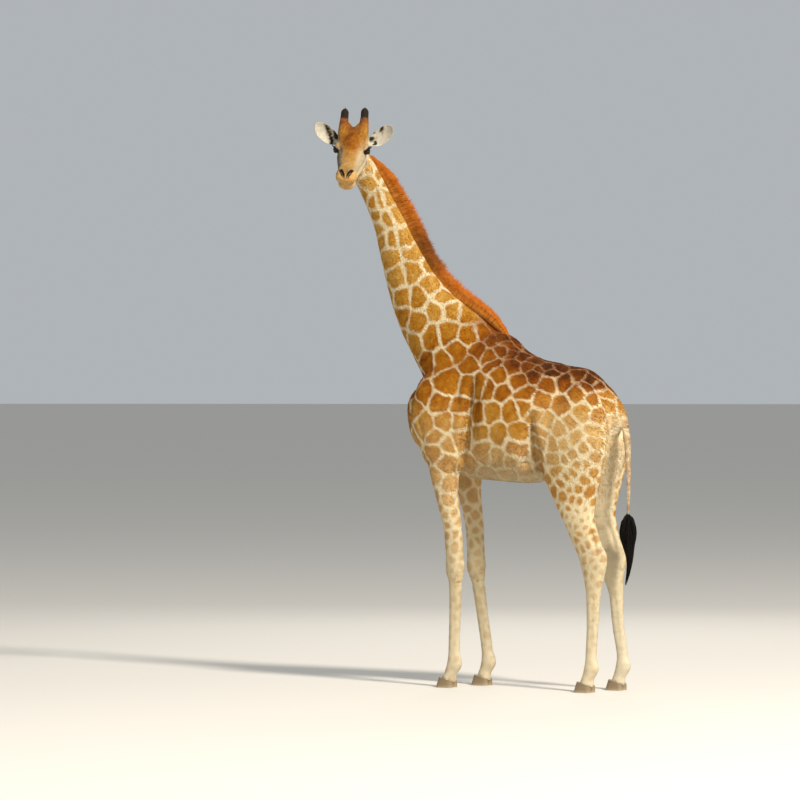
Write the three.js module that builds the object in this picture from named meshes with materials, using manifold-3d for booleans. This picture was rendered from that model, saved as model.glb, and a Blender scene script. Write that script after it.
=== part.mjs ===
// A life-size giraffe, standing square with its head turned to its left, as separate closed solids.
// Millimetres, +Z up, the animal's nose end towards -Y and its left side towards +X.
// The sizes below count from the ground under the middle of the trunk; the finished animal is then moved
// so that the origin lies on the ground under the middle of its whole outline.
//
// Every form of flesh is drawn through a few sections by one function, loft(). Each section names its
// centre (at) and how far the form reaches from it: to either side (side), to the back of the animal or
// of the limb (back), and to its belly or the limb's front (front). Neighbours are then cut clear of each
// other by a slightly grown copy, or parted by thin flat cuts.
import * as THREE from "three";
import { mergeVertices } from "three/addons/utils/BufferGeometryUtils.js";
import Module from "manifold-3d";

const wasm = await Module();
wasm.setup();

// ---------------------------------------------------------------- driving sizes
const GAP = 0.5; // clear space between neighbouring solids

const WITHERS = 2670; // height of the shoulder hump, without the mane
const CROUP = 2370; // height of the back over the hips
const BELLY = 1530; // lowest point of the barrel
const ELBOW = 1600;
const KNEE = 880;
const HOCK = 960;
const FETLOCK = 172;
const CORONET = 78; // top edge of the hooves
const FORE_TRACK = 172; // half the distance between the fore feet
const HIND_TRACK = 172; // and between the hind feet

const HEAD_TURN = 111; // degrees from straight ahead, to the animal's left
const HEAD_DROP = 36; // degrees, nose below the horizontal
const HEAD_TILT = 3.5; // degrees, left ear lower
const HEAD_AT = [284, -1264, 3992]; // midway between the eyes

// ---------------------------------------------------------------- finishes
const finish = (name, color, roughness) =>
  new THREE.MeshStandardMaterial({ name, color, roughness, metalness: 0 });
const COAT = finish("coat", 0xb9772f, 0.85);
const PALE_COAT = finish("pale_coat", 0xd9bd8e, 0.85);
const MANE_HAIR = finish("mane_hair", 0x8a4316, 0.8);
const TAIL_HAIR = finish("tail_hair", 0x15110e, 0.6);
const HORN_HAIR = finish("ossicone_hair", 0xa5652a, 0.8);
const HOOF_HORN = finish("hoof_horn", 0x3d3026, 0.5);
const EYE = finish("eye", 0x130d09, 0.08);

// ---------------------------------------------------------------- forming
const LEFT = new THREE.Vector3(1, 0, 0);

// Spreads the sections evenly into rings, with a smooth curve through centres and sizes alike.
function ringsThrough(sections, count, grow) {
  const centres = sections.map((s) => new THREE.Vector3(...s.at));
  const reaches = sections.map((s) => new THREE.Vector3(s.side, s.back, s.front));
  const squares = sections.map((s) => new THREE.Vector3(s.square ?? 2.2, s.cup ?? 0, 0));
  const [spine, reach, form] = [centres, reaches, squares].map(
    (points) => new THREE.CatmullRomCurve3(points, false, "centripetal"),
  );
  return Array.from({ length: count }, (_, k) => {
    const t = k / (count - 1);
    const { x: side, y: back, z: front } = reach.getPoint(t);
    const { x: square, y: cup } = form.getPoint(t);
    return {
      centre: spine.getPoint(t),
      along: spine.getTangent(t),
      side: side + grow,
      back: back + grow,
      front: front + grow,
      square,
      cup,
    };
  });
}

// One closed form through its sections, from the nose end or the top towards the tail or the ground. A
// sphere's own grid of vertices is laid over the rings, so its two poles close the ends.
// across is the direction of the left side.
function loft(sections, { across = LEFT, sides = 12, count = 10, grow = 0, dome = 0 } = {}) {
  const rings = ringsThrough(sections, count, grow);
  const geometry = new THREE.SphereGeometry(1, sides, rings.length + 1);
  const position = geometry.attributes.position;
  const tip = (ring, way) => ring.centre.clone().addScaledVector(ring.along, way * (dome + grow));
  for (let row = 0; row <= rings.length + 1; row++) {
    const k = THREE.MathUtils.clamp(row - 1, 0, rings.length - 1);
    const ring = rings[k];
    const left = across.clone();
    left.addScaledVector(ring.along, -left.dot(ring.along)).normalize();
    const rear = left.clone().cross(ring.along);
    for (let column = 0; column <= sides; column++) {
      const i = row * (sides + 1) + column;
      if (row === 0 || row === rings.length + 1) {
        const end = tip(ring, row === 0 ? -1 : 1);
        position.setXYZ(i, ...end.toArray());
        continue;
      }
      const angle = (2 * Math.PI * (column % sides)) / sides;
      const bulge = (v) => Math.sign(v) * Math.abs(v) ** (2 / ring.square);
      const [u, v] = [bulge(-Math.cos(angle)), bulge(-Math.sin(angle))];
      const bend = ring.cup * (1 - u * u); // a cupped section is bowed towards its back
      const point = ring.centre
        .clone()
        .addScaledVector(left, u * ring.side)
        .addScaledVector(rear, v * (v > 0 ? ring.back : ring.front) + bend);
      position.setXYZ(i, ...point.toArray());
    }
  }
  return geometry;
}

// A geometry as a manifold-3d solid.
function solid(geometry) {
  geometry.deleteAttribute("normal");
  geometry.deleteAttribute("uv");
  const merged = mergeVertices(geometry, 1e-3);
  const vertProperties = merged.attributes.position.array;
  const triVerts = new Uint32Array(merged.index.array);
  return new wasm.Manifold(new wasm.Mesh({ numProp: 3, vertProperties, triVerts }));
}

// A lofted form with the grown copy that cuts its neighbours clear of it.
function form(sections, options = {}) {
  const make = (grow) => solid(loft(sections, { ...options, grow }));
  return { body: make(0), room: make(GAP) };
}

// A ball, or an egg when stretched, with its grown copy.
function ball(radius, at, stretch = [1, 1, 1]) {
  const make = (grow) =>
    solid(new THREE.SphereGeometry(radius + grow, 10, 7).scale(...stretch).translate(...at));
  return { body: make(0), room: make(GAP / Math.min(...stretch)) };
}

const join = (parts) => parts.reduce((whole, part) => whole.add(part));
const clear = (part, neighbours) => neighbours.reduce((left, one) => left.subtract(one), part);

// The largest body of a cut solid, without the loose chips that a cut may leave.
const main = (cut) => cut.decompose().sort((a, b) => b.volume() - a.volume())[0];

// Parts a solid by a thin flat cut through a point: [the side the normal points to, the other side].
function parted(whole, point, normal) {
  const n = new THREE.Vector3(...normal).normalize();
  const offset = n.dot(new THREE.Vector3(...point));
  return [
    whole.trimByPlane(n.toArray(), offset + GAP / 2),
    whole.trimByPlane(n.clone().negate().toArray(), GAP / 2 - offset),
  ];
}

function meshOf(name, manifold, material) {
  const { vertProperties, triVerts } = main(manifold).getMesh();
  const indexed = new THREE.BufferGeometry()
    .setAttribute("position", new THREE.BufferAttribute(new Float32Array(vertProperties), 3))
    .setIndex(new THREE.BufferAttribute(new Uint32Array(triVerts), 1));
  const geometry = indexed.toNonIndexed();
  geometry.computeVertexNormals();
  const mesh = new THREE.Mesh(geometry, material);
  mesh.name = name;
  return mesh;
}

// ---------------------------------------------------------------- trunk and neck
// The barrel, from the breast to the buttocks: deep at the girth, rising to the withers.
const TRUNK = [
  { at: [0, -912, 2065], side: 60, back: 65, front: 80 },
  { at: [0, -862, 2065], side: 135, back: 160, front: 190 },
  { at: [0, -735, 2050], side: 192, back: 320, front: 320 },
  { at: [0, -520, 2060], side: 226, back: 560, front: 470 },
  { at: [0, -280, 2030], side: 268, back: WITHERS - 2030, front: 484 },
  { at: [0, -60, 1990], side: 310, back: 572, front: 1990 - BELLY },
  { at: [0, 180, 1980], side: 320, back: 472, front: 1980 - BELLY },
  { at: [0, 400, 1990], side: 280, back: 420, front: 360 },
  { at: [0, 580, 2010], side: 228, back: CROUP - 2010, front: 310 },
  { at: [0, 740, 1996], side: 170, back: 214, front: 260 },
  { at: [0, 824, 1980], side: 110, back: 118, front: 180 },
  { at: [0, 862, 1965], side: 45, back: 50, front: 90 },
];

// The neck, from the back of the skull down to the shoulders. It leans forward, and its top bends a
// little to the left, towards the turned head.
const NECK = [
  { at: [150, -1296, 4020], side: 66, back: 66, front: 64 },
  { at: [116, -1284, 3940], side: 84, back: 104, front: 92 },
  { at: [88, -1246, 3850], side: 86, back: 116, front: 108 },
  { at: [52, -1165, 3680], side: 88, back: 122, front: 120 },
  { at: [22, -1072, 3480], side: 94, back: 136, front: 144 },
  { at: [6, -996, 3260], side: 104, back: 164, front: 174 },
  { at: [0, -900, 3030], side: 120, back: 205, front: 210 },
  { at: [0, -790, 2810], side: 150, back: 275, front: 238 },
  { at: [0, -660, 2590], side: 180, back: 378, front: 245 },
  { at: [0, -500, 2350], side: 190, back: 460, front: 270 },
];

// The upright mane, from the poll down to the withers: thin from side to side, its foot inside the neck.
const MANE = [
  { at: [112, -1195, 3985], side: 12, back: 16, front: 40 },
  { at: [88, -1116, 3869], side: 18, back: 58, front: 50 },
  { at: [70, -1058, 3780], side: 20, back: 82, front: 60 },
  { at: [42, -972, 3586], side: 22, back: 108, front: 60 },
  { at: [16, -874, 3393], side: 22, back: 110, front: 60 },
  { at: [0, -809, 3222], side: 22, back: 118, front: 60 },
  { at: [0, -716, 3103], side: 22, back: 114, front: 60 },
  { at: [0, -573, 2969], side: 22, back: 98, front: 60 },
  { at: [0, -362, 2852], side: 22, back: 62, front: 60 },
  { at: [0, -236, 2776], side: 20, back: 48, front: 60 },
  { at: [0, -126, 2682], side: 16, back: 22, front: 50 },
  { at: [0, -84, 2630], side: 10, back: 8, front: 40 },
];

const trunkForm = form(TRUNK, { sides: 20, count: 20 });
const neckForm = form(NECK, { sides: 16, count: 16, dome: 10 });
const maneForm = form(MANE, { sides: 8, count: 16 });

// ---------------------------------------------------------------- legs
// A fore leg with its shoulder. way is +1 for the left one; the other sizes say how far back the knee,
// the fetlock and the hoof stand.
function foreLeg(way, { knee, fetlock, hoof }) {
  const x = way * FORE_TRACK;
  const sections = [
    { at: [way * 95, -400, 2500], side: 40, back: 60, front: 60 },
    { at: [way * 132, -470, 2370], side: 80, back: 140, front: 130 },
    { at: [way * 152, -550, 2190], side: 116, back: 285, front: 225 },
    { at: [way * 163, -560, 2000], side: 130, back: 330, front: 245 },
    { at: [way * 172, -540, 1810], side: 122, back: 255, front: 190 },
    { at: [way * 176, -518, 1690], side: 100, back: 176, front: 162 },
    { at: [way * 177, -524, ELBOW - 10], side: 88, back: 122, front: 118 },
    { at: [way * 178, -505, 1430], side: 78, back: 90, front: 88 },
    { at: [way * 176, (knee * 3 - 505) / 4 - 8, 1200], side: 66, back: 74, front: 74 },
    { at: [x, knee - 10, KNEE + 130], side: 62, back: 70, front: 72 },
    { at: [x, knee, KNEE], side: 68, back: 66, front: 76 },
    { at: [x, knee + (fetlock - knee) * 0.12, KNEE - 110], side: 48, back: 54, front: 54 },
    { at: [x, knee + (fetlock - knee) * 0.5, 520], side: 43, back: 48, front: 46 },
    { at: [x, knee + (fetlock - knee) * 0.9, 280], side: 44, back: 48, front: 46 },
    { at: [x, fetlock, FETLOCK], side: 54, back: 62, front: 56 },
    { at: [x, (fetlock + hoof) / 2, 112], side: 52, back: 50, front: 50 },
    { at: [x, hoof + 4, 50], side: 60, back: 58, front: 58 },
  ];
  return { way, x, hoof, ...form(sections, { sides: 10, count: 25 }) };
}

// A hind leg with its haunch, told the same way from the hock down.
function hindLeg(way, { hock, fetlock, hoof }) {
  const x = way * HIND_TRACK;
  const sections = [
    { at: [way * 95, 520, 2290], side: 50, back: 80, front: 90 },
    { at: [way * 130, 545, 2180], side: 100, back: 180, front: 210 },
    { at: [way * 160, 566, 2010], side: 136, back: 254, front: 300 },
    { at: [way * 167, 564, 1820], side: 142, back: 278, front: 325 },
    { at: [way * 170, 560, 1630], side: 122, back: 243, front: 275 },
    { at: [way * 172, 574, 1440], side: 90, back: 184, front: 190 },
    { at: [way * 174, 614, 1250], side: 72, back: 112, front: 128 },
    { at: [x, hock - 44, HOCK + 110], side: 58, back: 108, front: 112 },
    { at: [x, hock - 8, HOCK], side: 62, back: 114, front: 104 },
    { at: [x, hock - 2, HOCK - 100], side: 55, back: 90, front: 88 },
    { at: [x, hock + (fetlock - hock) * 0.28, 710], side: 47, back: 60, front: 58 },
    { at: [x, hock + (fetlock - hock) * 0.5, 480], side: 41, back: 50, front: 48 },
    { at: [x, hock + (fetlock - hock) * 0.95, 270], side: 43, back: 47, front: 45 },
    { at: [x, fetlock, FETLOCK], side: 53, back: 60, front: 56 },
    { at: [x, (fetlock + hoof) / 2, 112], side: 51, back: 50, front: 50 },
    { at: [x, hoof + 4, 50], side: 58, back: 56, front: 56 },
  ];
  return { way, x, hoof, ...form(sections, { sides: 10, count: 25 }) };
}

// The slanting cut of the coronet, where pastern and claws part: higher over the toe than at the heel.
const coronet = (whole, leg) => parted(whole, [leg.x, leg.hoof, CORONET - 14], [0, 0.3, 1]);

// One of a foot's two claws: upright at the heel, sloping at the toe, and flat on the ground.
function claw(leg, half) {
  const x = leg.x + half * 33;
  const y = leg.hoof;
  const sections = [
    { at: [x, y + 2, 110], side: 28, back: 52, front: 44, square: 2.6 },
    { at: [x, y - 4, 45], side: 31, back: 60, front: 62, square: 2.6 },
    { at: [x + half * 2, y - 6, -20], side: 33, back: 64, front: 82, square: 2.6 },
  ];
  const whole = solid(loft(sections, { sides: 8, count: 3 }));
  return coronet(whole, leg)[1].trimByPlane([0, 0, 1], 0);
}

// ---------------------------------------------------------------- tail
const TAIL = [
  { at: [0, 730, 2200], side: 44, back: 44, front: 44 },
  { at: [0, 800, 2122], side: 48, back: 44, front: 44 },
  { at: [0, 860, 2024], side: 42, back: 38, front: 38 },
  { at: [0, 898, 1900], side: 32, back: 29, front: 29 },
  { at: [0, 915, 1710], side: 22, back: 21, front: 21 },
  { at: [2, 919, 1520], side: 16, back: 16, front: 16 },
  { at: [4, 916, 1270], side: 11, back: 11, front: 11 },
];
const TAIL_TUFT = [
  { at: [4, 914, 1320], side: 16, back: 16, front: 16 },
  { at: [4, 916, 1255], side: 46, back: 50, front: 52 },
  { at: [4, 916, 1165], side: 56, back: 66, front: 64 },
  { at: [2, 920, 1070], side: 42, back: 44, front: 46 },
  { at: [0, 928, 985], side: 26, back: 24, front: 26 },
  { at: [0, 916, 880], side: 16, back: 14, front: 16 },
  { at: [0, 892, 780], side: 6, back: 6, front: 6 },
];

// ---------------------------------------------------------------- head
// Drawn facing -Y with the skull level, then set in place by the head group.
const head = new THREE.Group();
head.position.set(...HEAD_AT);
head.rotation.set(
  THREE.MathUtils.degToRad(HEAD_DROP),
  THREE.MathUtils.degToRad(HEAD_TILT),
  THREE.MathUtils.degToRad(HEAD_TURN),
  "ZXY",
);
head.updateMatrixWorld(true);
const toHead = head.matrixWorld.clone().invert();
const inHead = (manifold) => manifold.transform(toHead.toArray());

const EYE_RADIUS = 25;
const eyeAt = (way) => [way * 115, -2, 40];

// The skull with nose bridge and upper lip.
const SKULL = [
  { at: [0, -376, 2], side: 34, back: 18, front: 24 },
  { at: [0, -362, 6], side: 64, back: 38, front: 42 },
  { at: [0, -318, 8], side: 80, back: 54, front: 52 },
  { at: [0, -260, 8], side: 76, back: 58, front: 52 },
  { at: [0, -180, 0], side: 84, back: 72, front: 54, square: 1.9 },
  { at: [0, -100, -6], side: 100, back: 94, front: 62, square: 1.8 },
  { at: [0, -40, -6], side: 108, back: 118, front: 70, square: 1.9 },
  { at: [0, 30, -4], side: 108, back: 136, front: 80 },
  { at: [0, 100, 0], side: 102, back: 146, front: 84 },
  { at: [0, 168, -2], side: 86, back: 134, front: 84 },
  { at: [0, 220, -14], side: 56, back: 78, front: 62 },
];
// The lower jaw with the chin and the cheeks.
const JAW = [
  { at: [0, -352, -50], side: 36, back: 20, front: 28 },
  { at: [0, -326, -54], side: 64, back: 26, front: 42 },
  { at: [0, -265, -56], side: 62, back: 28, front: 38 },
  { at: [0, -180, -60], side: 76, back: 36, front: 42 },
  { at: [0, -90, -66], side: 94, back: 50, front: 60 },
  { at: [0, 0, -72], side: 102, back: 60, front: 76 },
  { at: [0, 80, -68], side: 92, back: 60, front: 78 },
  { at: [0, 130, -56], side: 70, back: 44, front: 56 },
  { at: [0, 160, -46], side: 40, back: 26, front: 30 },
];
// A horn-like ossicone, covered with hair, from the crown up to its blunt knob. rise is its full height.
const ossicone = (way, rise) => [
  { at: [way * 60, 78, 72], side: 56, back: 60, front: 58 },
  { at: [way * 67, 112, 110], side: 53, back: 50, front: 48 },
  { at: [way * 75, 154, 154], side: 40, back: 38, front: 37 },
  { at: [way * 76, rise - 47, rise - 50], side: 32, back: 32, front: 32 },
  { at: [way * 75, rise - 17, rise - 20], side: 31, back: 31, front: 31 },
  { at: [way * 74, rise, rise - 3], side: 18, back: 18, front: 18 },
];
// The ridge of the crown between the ossicones, lowest in the middle, told across the head.
const CREST_HEIGHT = 74;
const CREST_SLOPE = 0.9; // how much it rises towards either ossicone
const CREST = [-60, -30, 0, 30, 60].map((x) => ({
  at: [x, 96, 96],
  side: 36,
  back: 40,
  front: CREST_HEIGHT + CREST_SLOPE * Math.abs(x),
}));
const LEFT_RISE = 253;
const RIGHT_RISE = 245; // the two are seldom quite alike
// An ear, a cupped leaf open to the front, from its root up to its tip.
const ear = (way) => [
  { at: [way * 84, 112, 40], side: 24, back: 22, front: 22, cup: 0 },
  { at: [way * 130, 120, 44], side: 38, back: 15, front: 14, cup: 18 },
  { at: [way * 178, 130, 62], side: 57, back: 8, front: 7, cup: 32 },
  { at: [way * 226, 144, 96], side: 59, back: 6, front: 6, cup: 28 },
  { at: [way * 268, 156, 138], side: 42, back: 5, front: 5, cup: 14 },
  { at: [way * 291, 160, 162], side: 8, back: 4, front: 4, cup: 0 },
];

function headParts() {
  const skull = form(SKULL, { sides: 16, count: 16, dome: 4 });
  const jaw = form(JAW, { sides: 12, count: 11, dome: 4 });
  const orbits = [1, -1].map((way) => ball(44, [way * 92, 16, 44], [1, 1.2, 0.95]));
  const crest = form(CREST, { sides: 8, count: 5, across: new THREE.Vector3(0, 1, -1) });
  const nostrils = [1, -1].map((way) => ball(24, [way * 44, -318, 38], [1, 1.5, 0.8]));
  const eyes = [1, -1].map((way) => ball(EYE_RADIUS, eyeAt(way)));
  const upper = join([skull, crest, ...orbits, ...nostrils].map((one) => one.body));
  const room = join([skull, crest, ...orbits].map((one) => one.room));
  const horns = [ossicone(1, LEFT_RISE), ossicone(-1, RIGHT_RISE)].map((sections) =>
    form(sections, { sides: 10, count: 8, dome: 5 }),
  );
  const ears = [1, -1].map((way) => {
    const across = new THREE.Vector3(-0.5525, way * 0.48, way * 0.661);
    return form(ear(way), { sides: 12, count: 8, across, dome: 2 });
  });
  return { room, jaw, eyes, upper, horns, ears };
}

// ---------------------------------------------------------------- assembly
const giraffe = new THREE.Group();
giraffe.add(head);

const { room, jaw, eyes, upper, horns, ears } = headParts();
const headRoom = [room, jaw.room].map((one) => one.transform(head.matrixWorld.toArray()));

const legs = {
  fore_left: foreLeg(1, { knee: -433, fetlock: -450, hoof: -500 }),
  fore_right: foreLeg(-1, { knee: -440, fetlock: -346, hoof: -388 }),
  hind_left: hindLeg(1, { hock: 722, fetlock: 696, hoof: 654 }),
  hind_right: hindLeg(-1, { hock: 708, fetlock: 783, hoof: 740 }),
};
const legRooms = Object.values(legs).map((leg) => leg.room);
const tailForm = form(TAIL, { sides: 8, count: 12 });
const tuftForm = form(TAIL_TUFT, { sides: 8, count: 11 });

// Trunk and neck are one mass of flesh, parted in front of the shoulders by a cut that rises to the withers.
const torso = trunkForm.body.add(neckForm.body);
const [neckSide, trunkSide] = parted(torso, [0, -830, 2370], [0, -0.56, 0.83]);
const neck = clear(neckSide, headRoom);
const trunk = clear(trunkSide, [...legRooms, tailForm.room]);
giraffe.add(meshOf("neck", neck, COAT));
giraffe.add(meshOf("trunk", trunk, COAT));
const maneRoots = [trunkForm.room, neckForm.room, ...headRoom, ...legRooms];
giraffe.add(meshOf("mane", clear(maneForm.body, maneRoots), MANE_HAIR));
giraffe.add(meshOf("tail", tailForm.body, COAT));
giraffe.add(meshOf("tail_tuft", clear(tuftForm.body, [tailForm.room]), TAIL_HAIR));

// Each leg is parted at the joints that a person would name.
for (const [name, leg] of Object.entries(legs)) {
  const fore = name.startsWith("fore");
  const cuts = fore ? [ELBOW - 60, KNEE - 70] : [1330, HOCK - 90];
  const names = fore ? ["shoulder", "forearm"] : ["haunch", "gaskin"];
  let rest = coronet(leg.body, leg)[0];
  names.forEach((part, i) => {
    const [above, below] = parted(rest, [0, 0, cuts[i]], [0, 0, 1]);
    giraffe.add(meshOf(`${name}_${part}`, above, COAT));
    rest = below;
  });
  giraffe.add(meshOf(`${name}_cannon`, rest, PALE_COAT));
  giraffe.add(meshOf(`${name}_claw_outer`, claw(leg, leg.way), HOOF_HORN));
  giraffe.add(meshOf(`${name}_claw_inner`, claw(leg, -leg.way), HOOF_HORN));
}

// The head group.
head.add(meshOf("head", clear(upper, eyes.map((eye) => eye.room)), COAT));
head.add(meshOf("lower_jaw", clear(jaw.body, [room]), PALE_COAT));
["left", "right"].forEach((side, i) => {
  head.add(meshOf(`eye_${side}`, eyes[i].body, EYE));
  head.add(meshOf(`ossicone_${side}`, clear(horns[i].body, [room]), HORN_HAIR));
  head.add(meshOf(`ear_${side}`, clear(ears[i].body, [room, jaw.room, horns[i].room]), PALE_COAT));
});

// The origin goes to the ground under the middle of the whole animal.
giraffe.updateMatrixWorld(true);
const middle = new THREE.Box3().setFromObject(giraffe, true).getCenter(new THREE.Vector3());
giraffe.position.set(-middle.x, -middle.y, 0);

export default giraffe;
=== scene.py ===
# %% [markdown]
# # A life-size giraffe
# The animal stands still, its neck raised and its head turned to its left. It is built the way a museum
# would build it: one skin over all the flesh, then glass eyes, horn hooves, and hair laid on in tufts.
# The solids that carry the measurements are loaded first. They stay fixed, and every piece made here is
# in the same frame: metres, +Z up, the trunk's nose end towards -Y and its left side towards +X.

# %% Load the frame
import math

import bmesh
import bpy
import numpy as np
from mathutils import Matrix, Vector
from mathutils.kdtree import KDTree


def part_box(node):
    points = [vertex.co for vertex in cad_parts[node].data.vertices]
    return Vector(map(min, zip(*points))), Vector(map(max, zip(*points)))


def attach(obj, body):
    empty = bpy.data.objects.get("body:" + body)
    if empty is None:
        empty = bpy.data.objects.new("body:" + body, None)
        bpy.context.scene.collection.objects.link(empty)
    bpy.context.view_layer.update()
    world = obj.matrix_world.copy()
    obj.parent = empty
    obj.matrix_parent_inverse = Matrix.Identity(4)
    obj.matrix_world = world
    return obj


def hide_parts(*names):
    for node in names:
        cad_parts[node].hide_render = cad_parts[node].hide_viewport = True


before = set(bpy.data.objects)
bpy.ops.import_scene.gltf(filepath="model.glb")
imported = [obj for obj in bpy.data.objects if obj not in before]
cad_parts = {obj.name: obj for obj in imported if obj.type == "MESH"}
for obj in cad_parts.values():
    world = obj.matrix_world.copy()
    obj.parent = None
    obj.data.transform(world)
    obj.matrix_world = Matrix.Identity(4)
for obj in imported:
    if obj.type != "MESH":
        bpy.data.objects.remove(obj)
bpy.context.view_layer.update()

MM = 0.001

# %% [markdown]
# ## Where the measurements start
# The tables below are told from the ground under the middle of the trunk, because a body is easiest to
# measure from its own plane of symmetry. The frame's origin lies elsewhere, so the difference is read off
# the solids: the fore cannons stand evenly to either side of that plane, and the breast is the trunk's
# foremost point.

# %% Centre line
BREAST_Y = -0.912  # the breast, from the middle of the trunk

left_cannon, right_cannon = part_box("fore_left_cannon"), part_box("fore_right_cannon")
plane_x = (left_cannon[0].x + right_cannon[1].x) / 2
middle = np.array([plane_x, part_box("trunk")[0].y - BREAST_Y, 0.0])
print("middle of the trunk lies at", middle.round(4))

# %% [markdown]
# ## Camera, floor and light
# A tall animal seen from far away through a long lens keeps its proportions. The view is level, at the
# height of the middle of the trunk, and from behind the left shoulder. A wide pale floor under a pale
# sky keeps the outline clear. One high lamp from the tail's side models the forms, and two weak ones
# open the shade.

# %% Camera
def add_object(name, data):
    made = bpy.data.objects.new(name, data)
    bpy.context.scene.collection.objects.link(made)
    return made


VIEW_FROM = math.radians(28)  # how far round from the left side towards the tail the camera stands
VIEW_DISTANCE = 32.0
VIEW_HEIGHT = 2.143
PIXELS = 800
PIXELS_PER_METRE = 134.4
BODY_AT_PIXEL = 518  # pixels from the render's left edge to the middle of the trunk

out = Vector((math.cos(VIEW_FROM), math.sin(VIEW_FROM), 0))
camera = add_object("camera", bpy.data.cameras.new("camera"))
camera.data.sensor_width = 36
camera.data.lens = 36 * PIXELS_PER_METRE * VIEW_DISTANCE / PIXELS
camera.data.clip_end = 5000
camera.location = Vector(middle) + out * VIEW_DISTANCE + Vector((0, 0, VIEW_HEIGHT))
aside = (BODY_AT_PIXEL - PIXELS / 2) / (PIXELS_PER_METRE * VIEW_DISTANCE)
camera.rotation_euler = (math.pi / 2, 0, math.pi / 2 + VIEW_FROM + math.atan(aside))
bpy.context.scene.camera = camera
print("lens", round(camera.data.lens, 1), "mm")

# %% Floor
FLOOR_SIZE = 4000.0  # so far off that its edge is the horizon


def plain_surface(name, colour, roughness):
    material = bpy.data.materials.new(name)
    material.use_nodes = True
    shader = material.node_tree.nodes["Principled BSDF"]
    shader.inputs["Base Color"].default_value = (*colour, 1)
    shader.inputs["Roughness"].default_value = roughness
    return material


mesh = bpy.data.meshes.new("floor")
half = FLOOR_SIZE / 2
corners = [(-half, -half, 0), (half, -half, 0), (half, half, 0), (-half, half, 0)]
mesh.from_pydata(corners, [], [(0, 1, 2, 3)])
floor = add_object("floor", mesh)
floor.data.materials.append(plain_surface("pale_floor", (0.70, 0.66, 0.60), 0.9))

# %% Light
SKY = (0.83, 0.88, 0.92)
SKY_STRENGTH = 0.52


def softbox(name, place, aim, size, power, colour):
    lamp = bpy.data.lights.new(name, "AREA")
    lamp.shape = "DISK"
    lamp.size = size
    lamp.energy = power
    lamp.color = colour
    holder = add_object(name, lamp)
    holder.location = place
    holder.rotation_euler = (Vector(aim) - Vector(place)).to_track_quat("-Z", "Y").to_euler()


world = bpy.data.worlds.new("studio")
world.use_nodes = True
world.node_tree.nodes["Background"].inputs["Color"].default_value = (*SKY, 1)
world.node_tree.nodes["Background"].inputs["Strength"].default_value = SKY_STRENGTH
bpy.context.scene.world = world
bpy.context.scene.view_settings.view_transform = "Standard"
softbox("key_light", (9.5, 20, 20.5), (0, 0, 2.2), 4.5, 11800, (1.0, 0.94, 0.84))
softbox("fill_light", (12, -5, 5), (0, 0, 2.4), 7, 80, (1.0, 0.97, 0.93))
softbox("rim_light", (-9, -4, 7), (0, 0, 2.6), 5, 200, (1.0, 0.97, 0.93))

# %% [markdown]
# ## Forms through sections
# Limbs, neck and trunk are all tapering round forms. Each is told by a few cross-sections, as a sculptor
# cuts profiles for an armature: a centre, then how far the form reaches to either side, to its back and
# to its front. A smooth curve runs through the centres and one through the sizes, and rings of points
# are laid along them. Modelling by hand would give the same, but sections can be measured and changed.

# %% A smooth curve through points
def spline(points, t):
    """Centripetal Catmull-Rom curve through rows of points, at the parameters t from 0 to 1."""
    p = np.asarray(points, float)
    p = np.vstack([2 * p[0] - p[1], p, 2 * p[-1] - p[-2]])
    s = np.clip(np.asarray(t, float) * (len(p) - 3), 0, len(p) - 3 - 1e-9)
    i = s.astype(int)
    w = (s - i)[:, None]
    a, b, c, d = p[i], p[i + 1], p[i + 2], p[i + 3]
    step = [np.sum((v - u) ** 2, 1)[:, None] ** 0.25 for u, v in ((a, b), (b, c), (c, d))]
    middle_step = np.where(step[1] < 1e-4, 1.0, step[1])
    before, after = [np.where(one < 1e-4, middle_step, one) for one in (step[0], step[2])]
    start = (b - a) / before - (c - a) / (before + middle_step) + (c - b) / middle_step
    end = (c - b) / middle_step - (d - b) / (middle_step + after) + (d - c) / after
    start, end = start * middle_step, end * middle_step
    return b + w * (start + w * ((3 * (c - b) - 2 * start - end) + w * (2 * (b - c) + start + end)))


# %% A closed form through sections
ROUND = 2.2  # the sections' usual squareness; 2 is an ellipse


def unit(v):
    v = np.asarray(v, float)
    return v / np.linalg.norm(v, axis=-1, keepdims=True)


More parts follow.
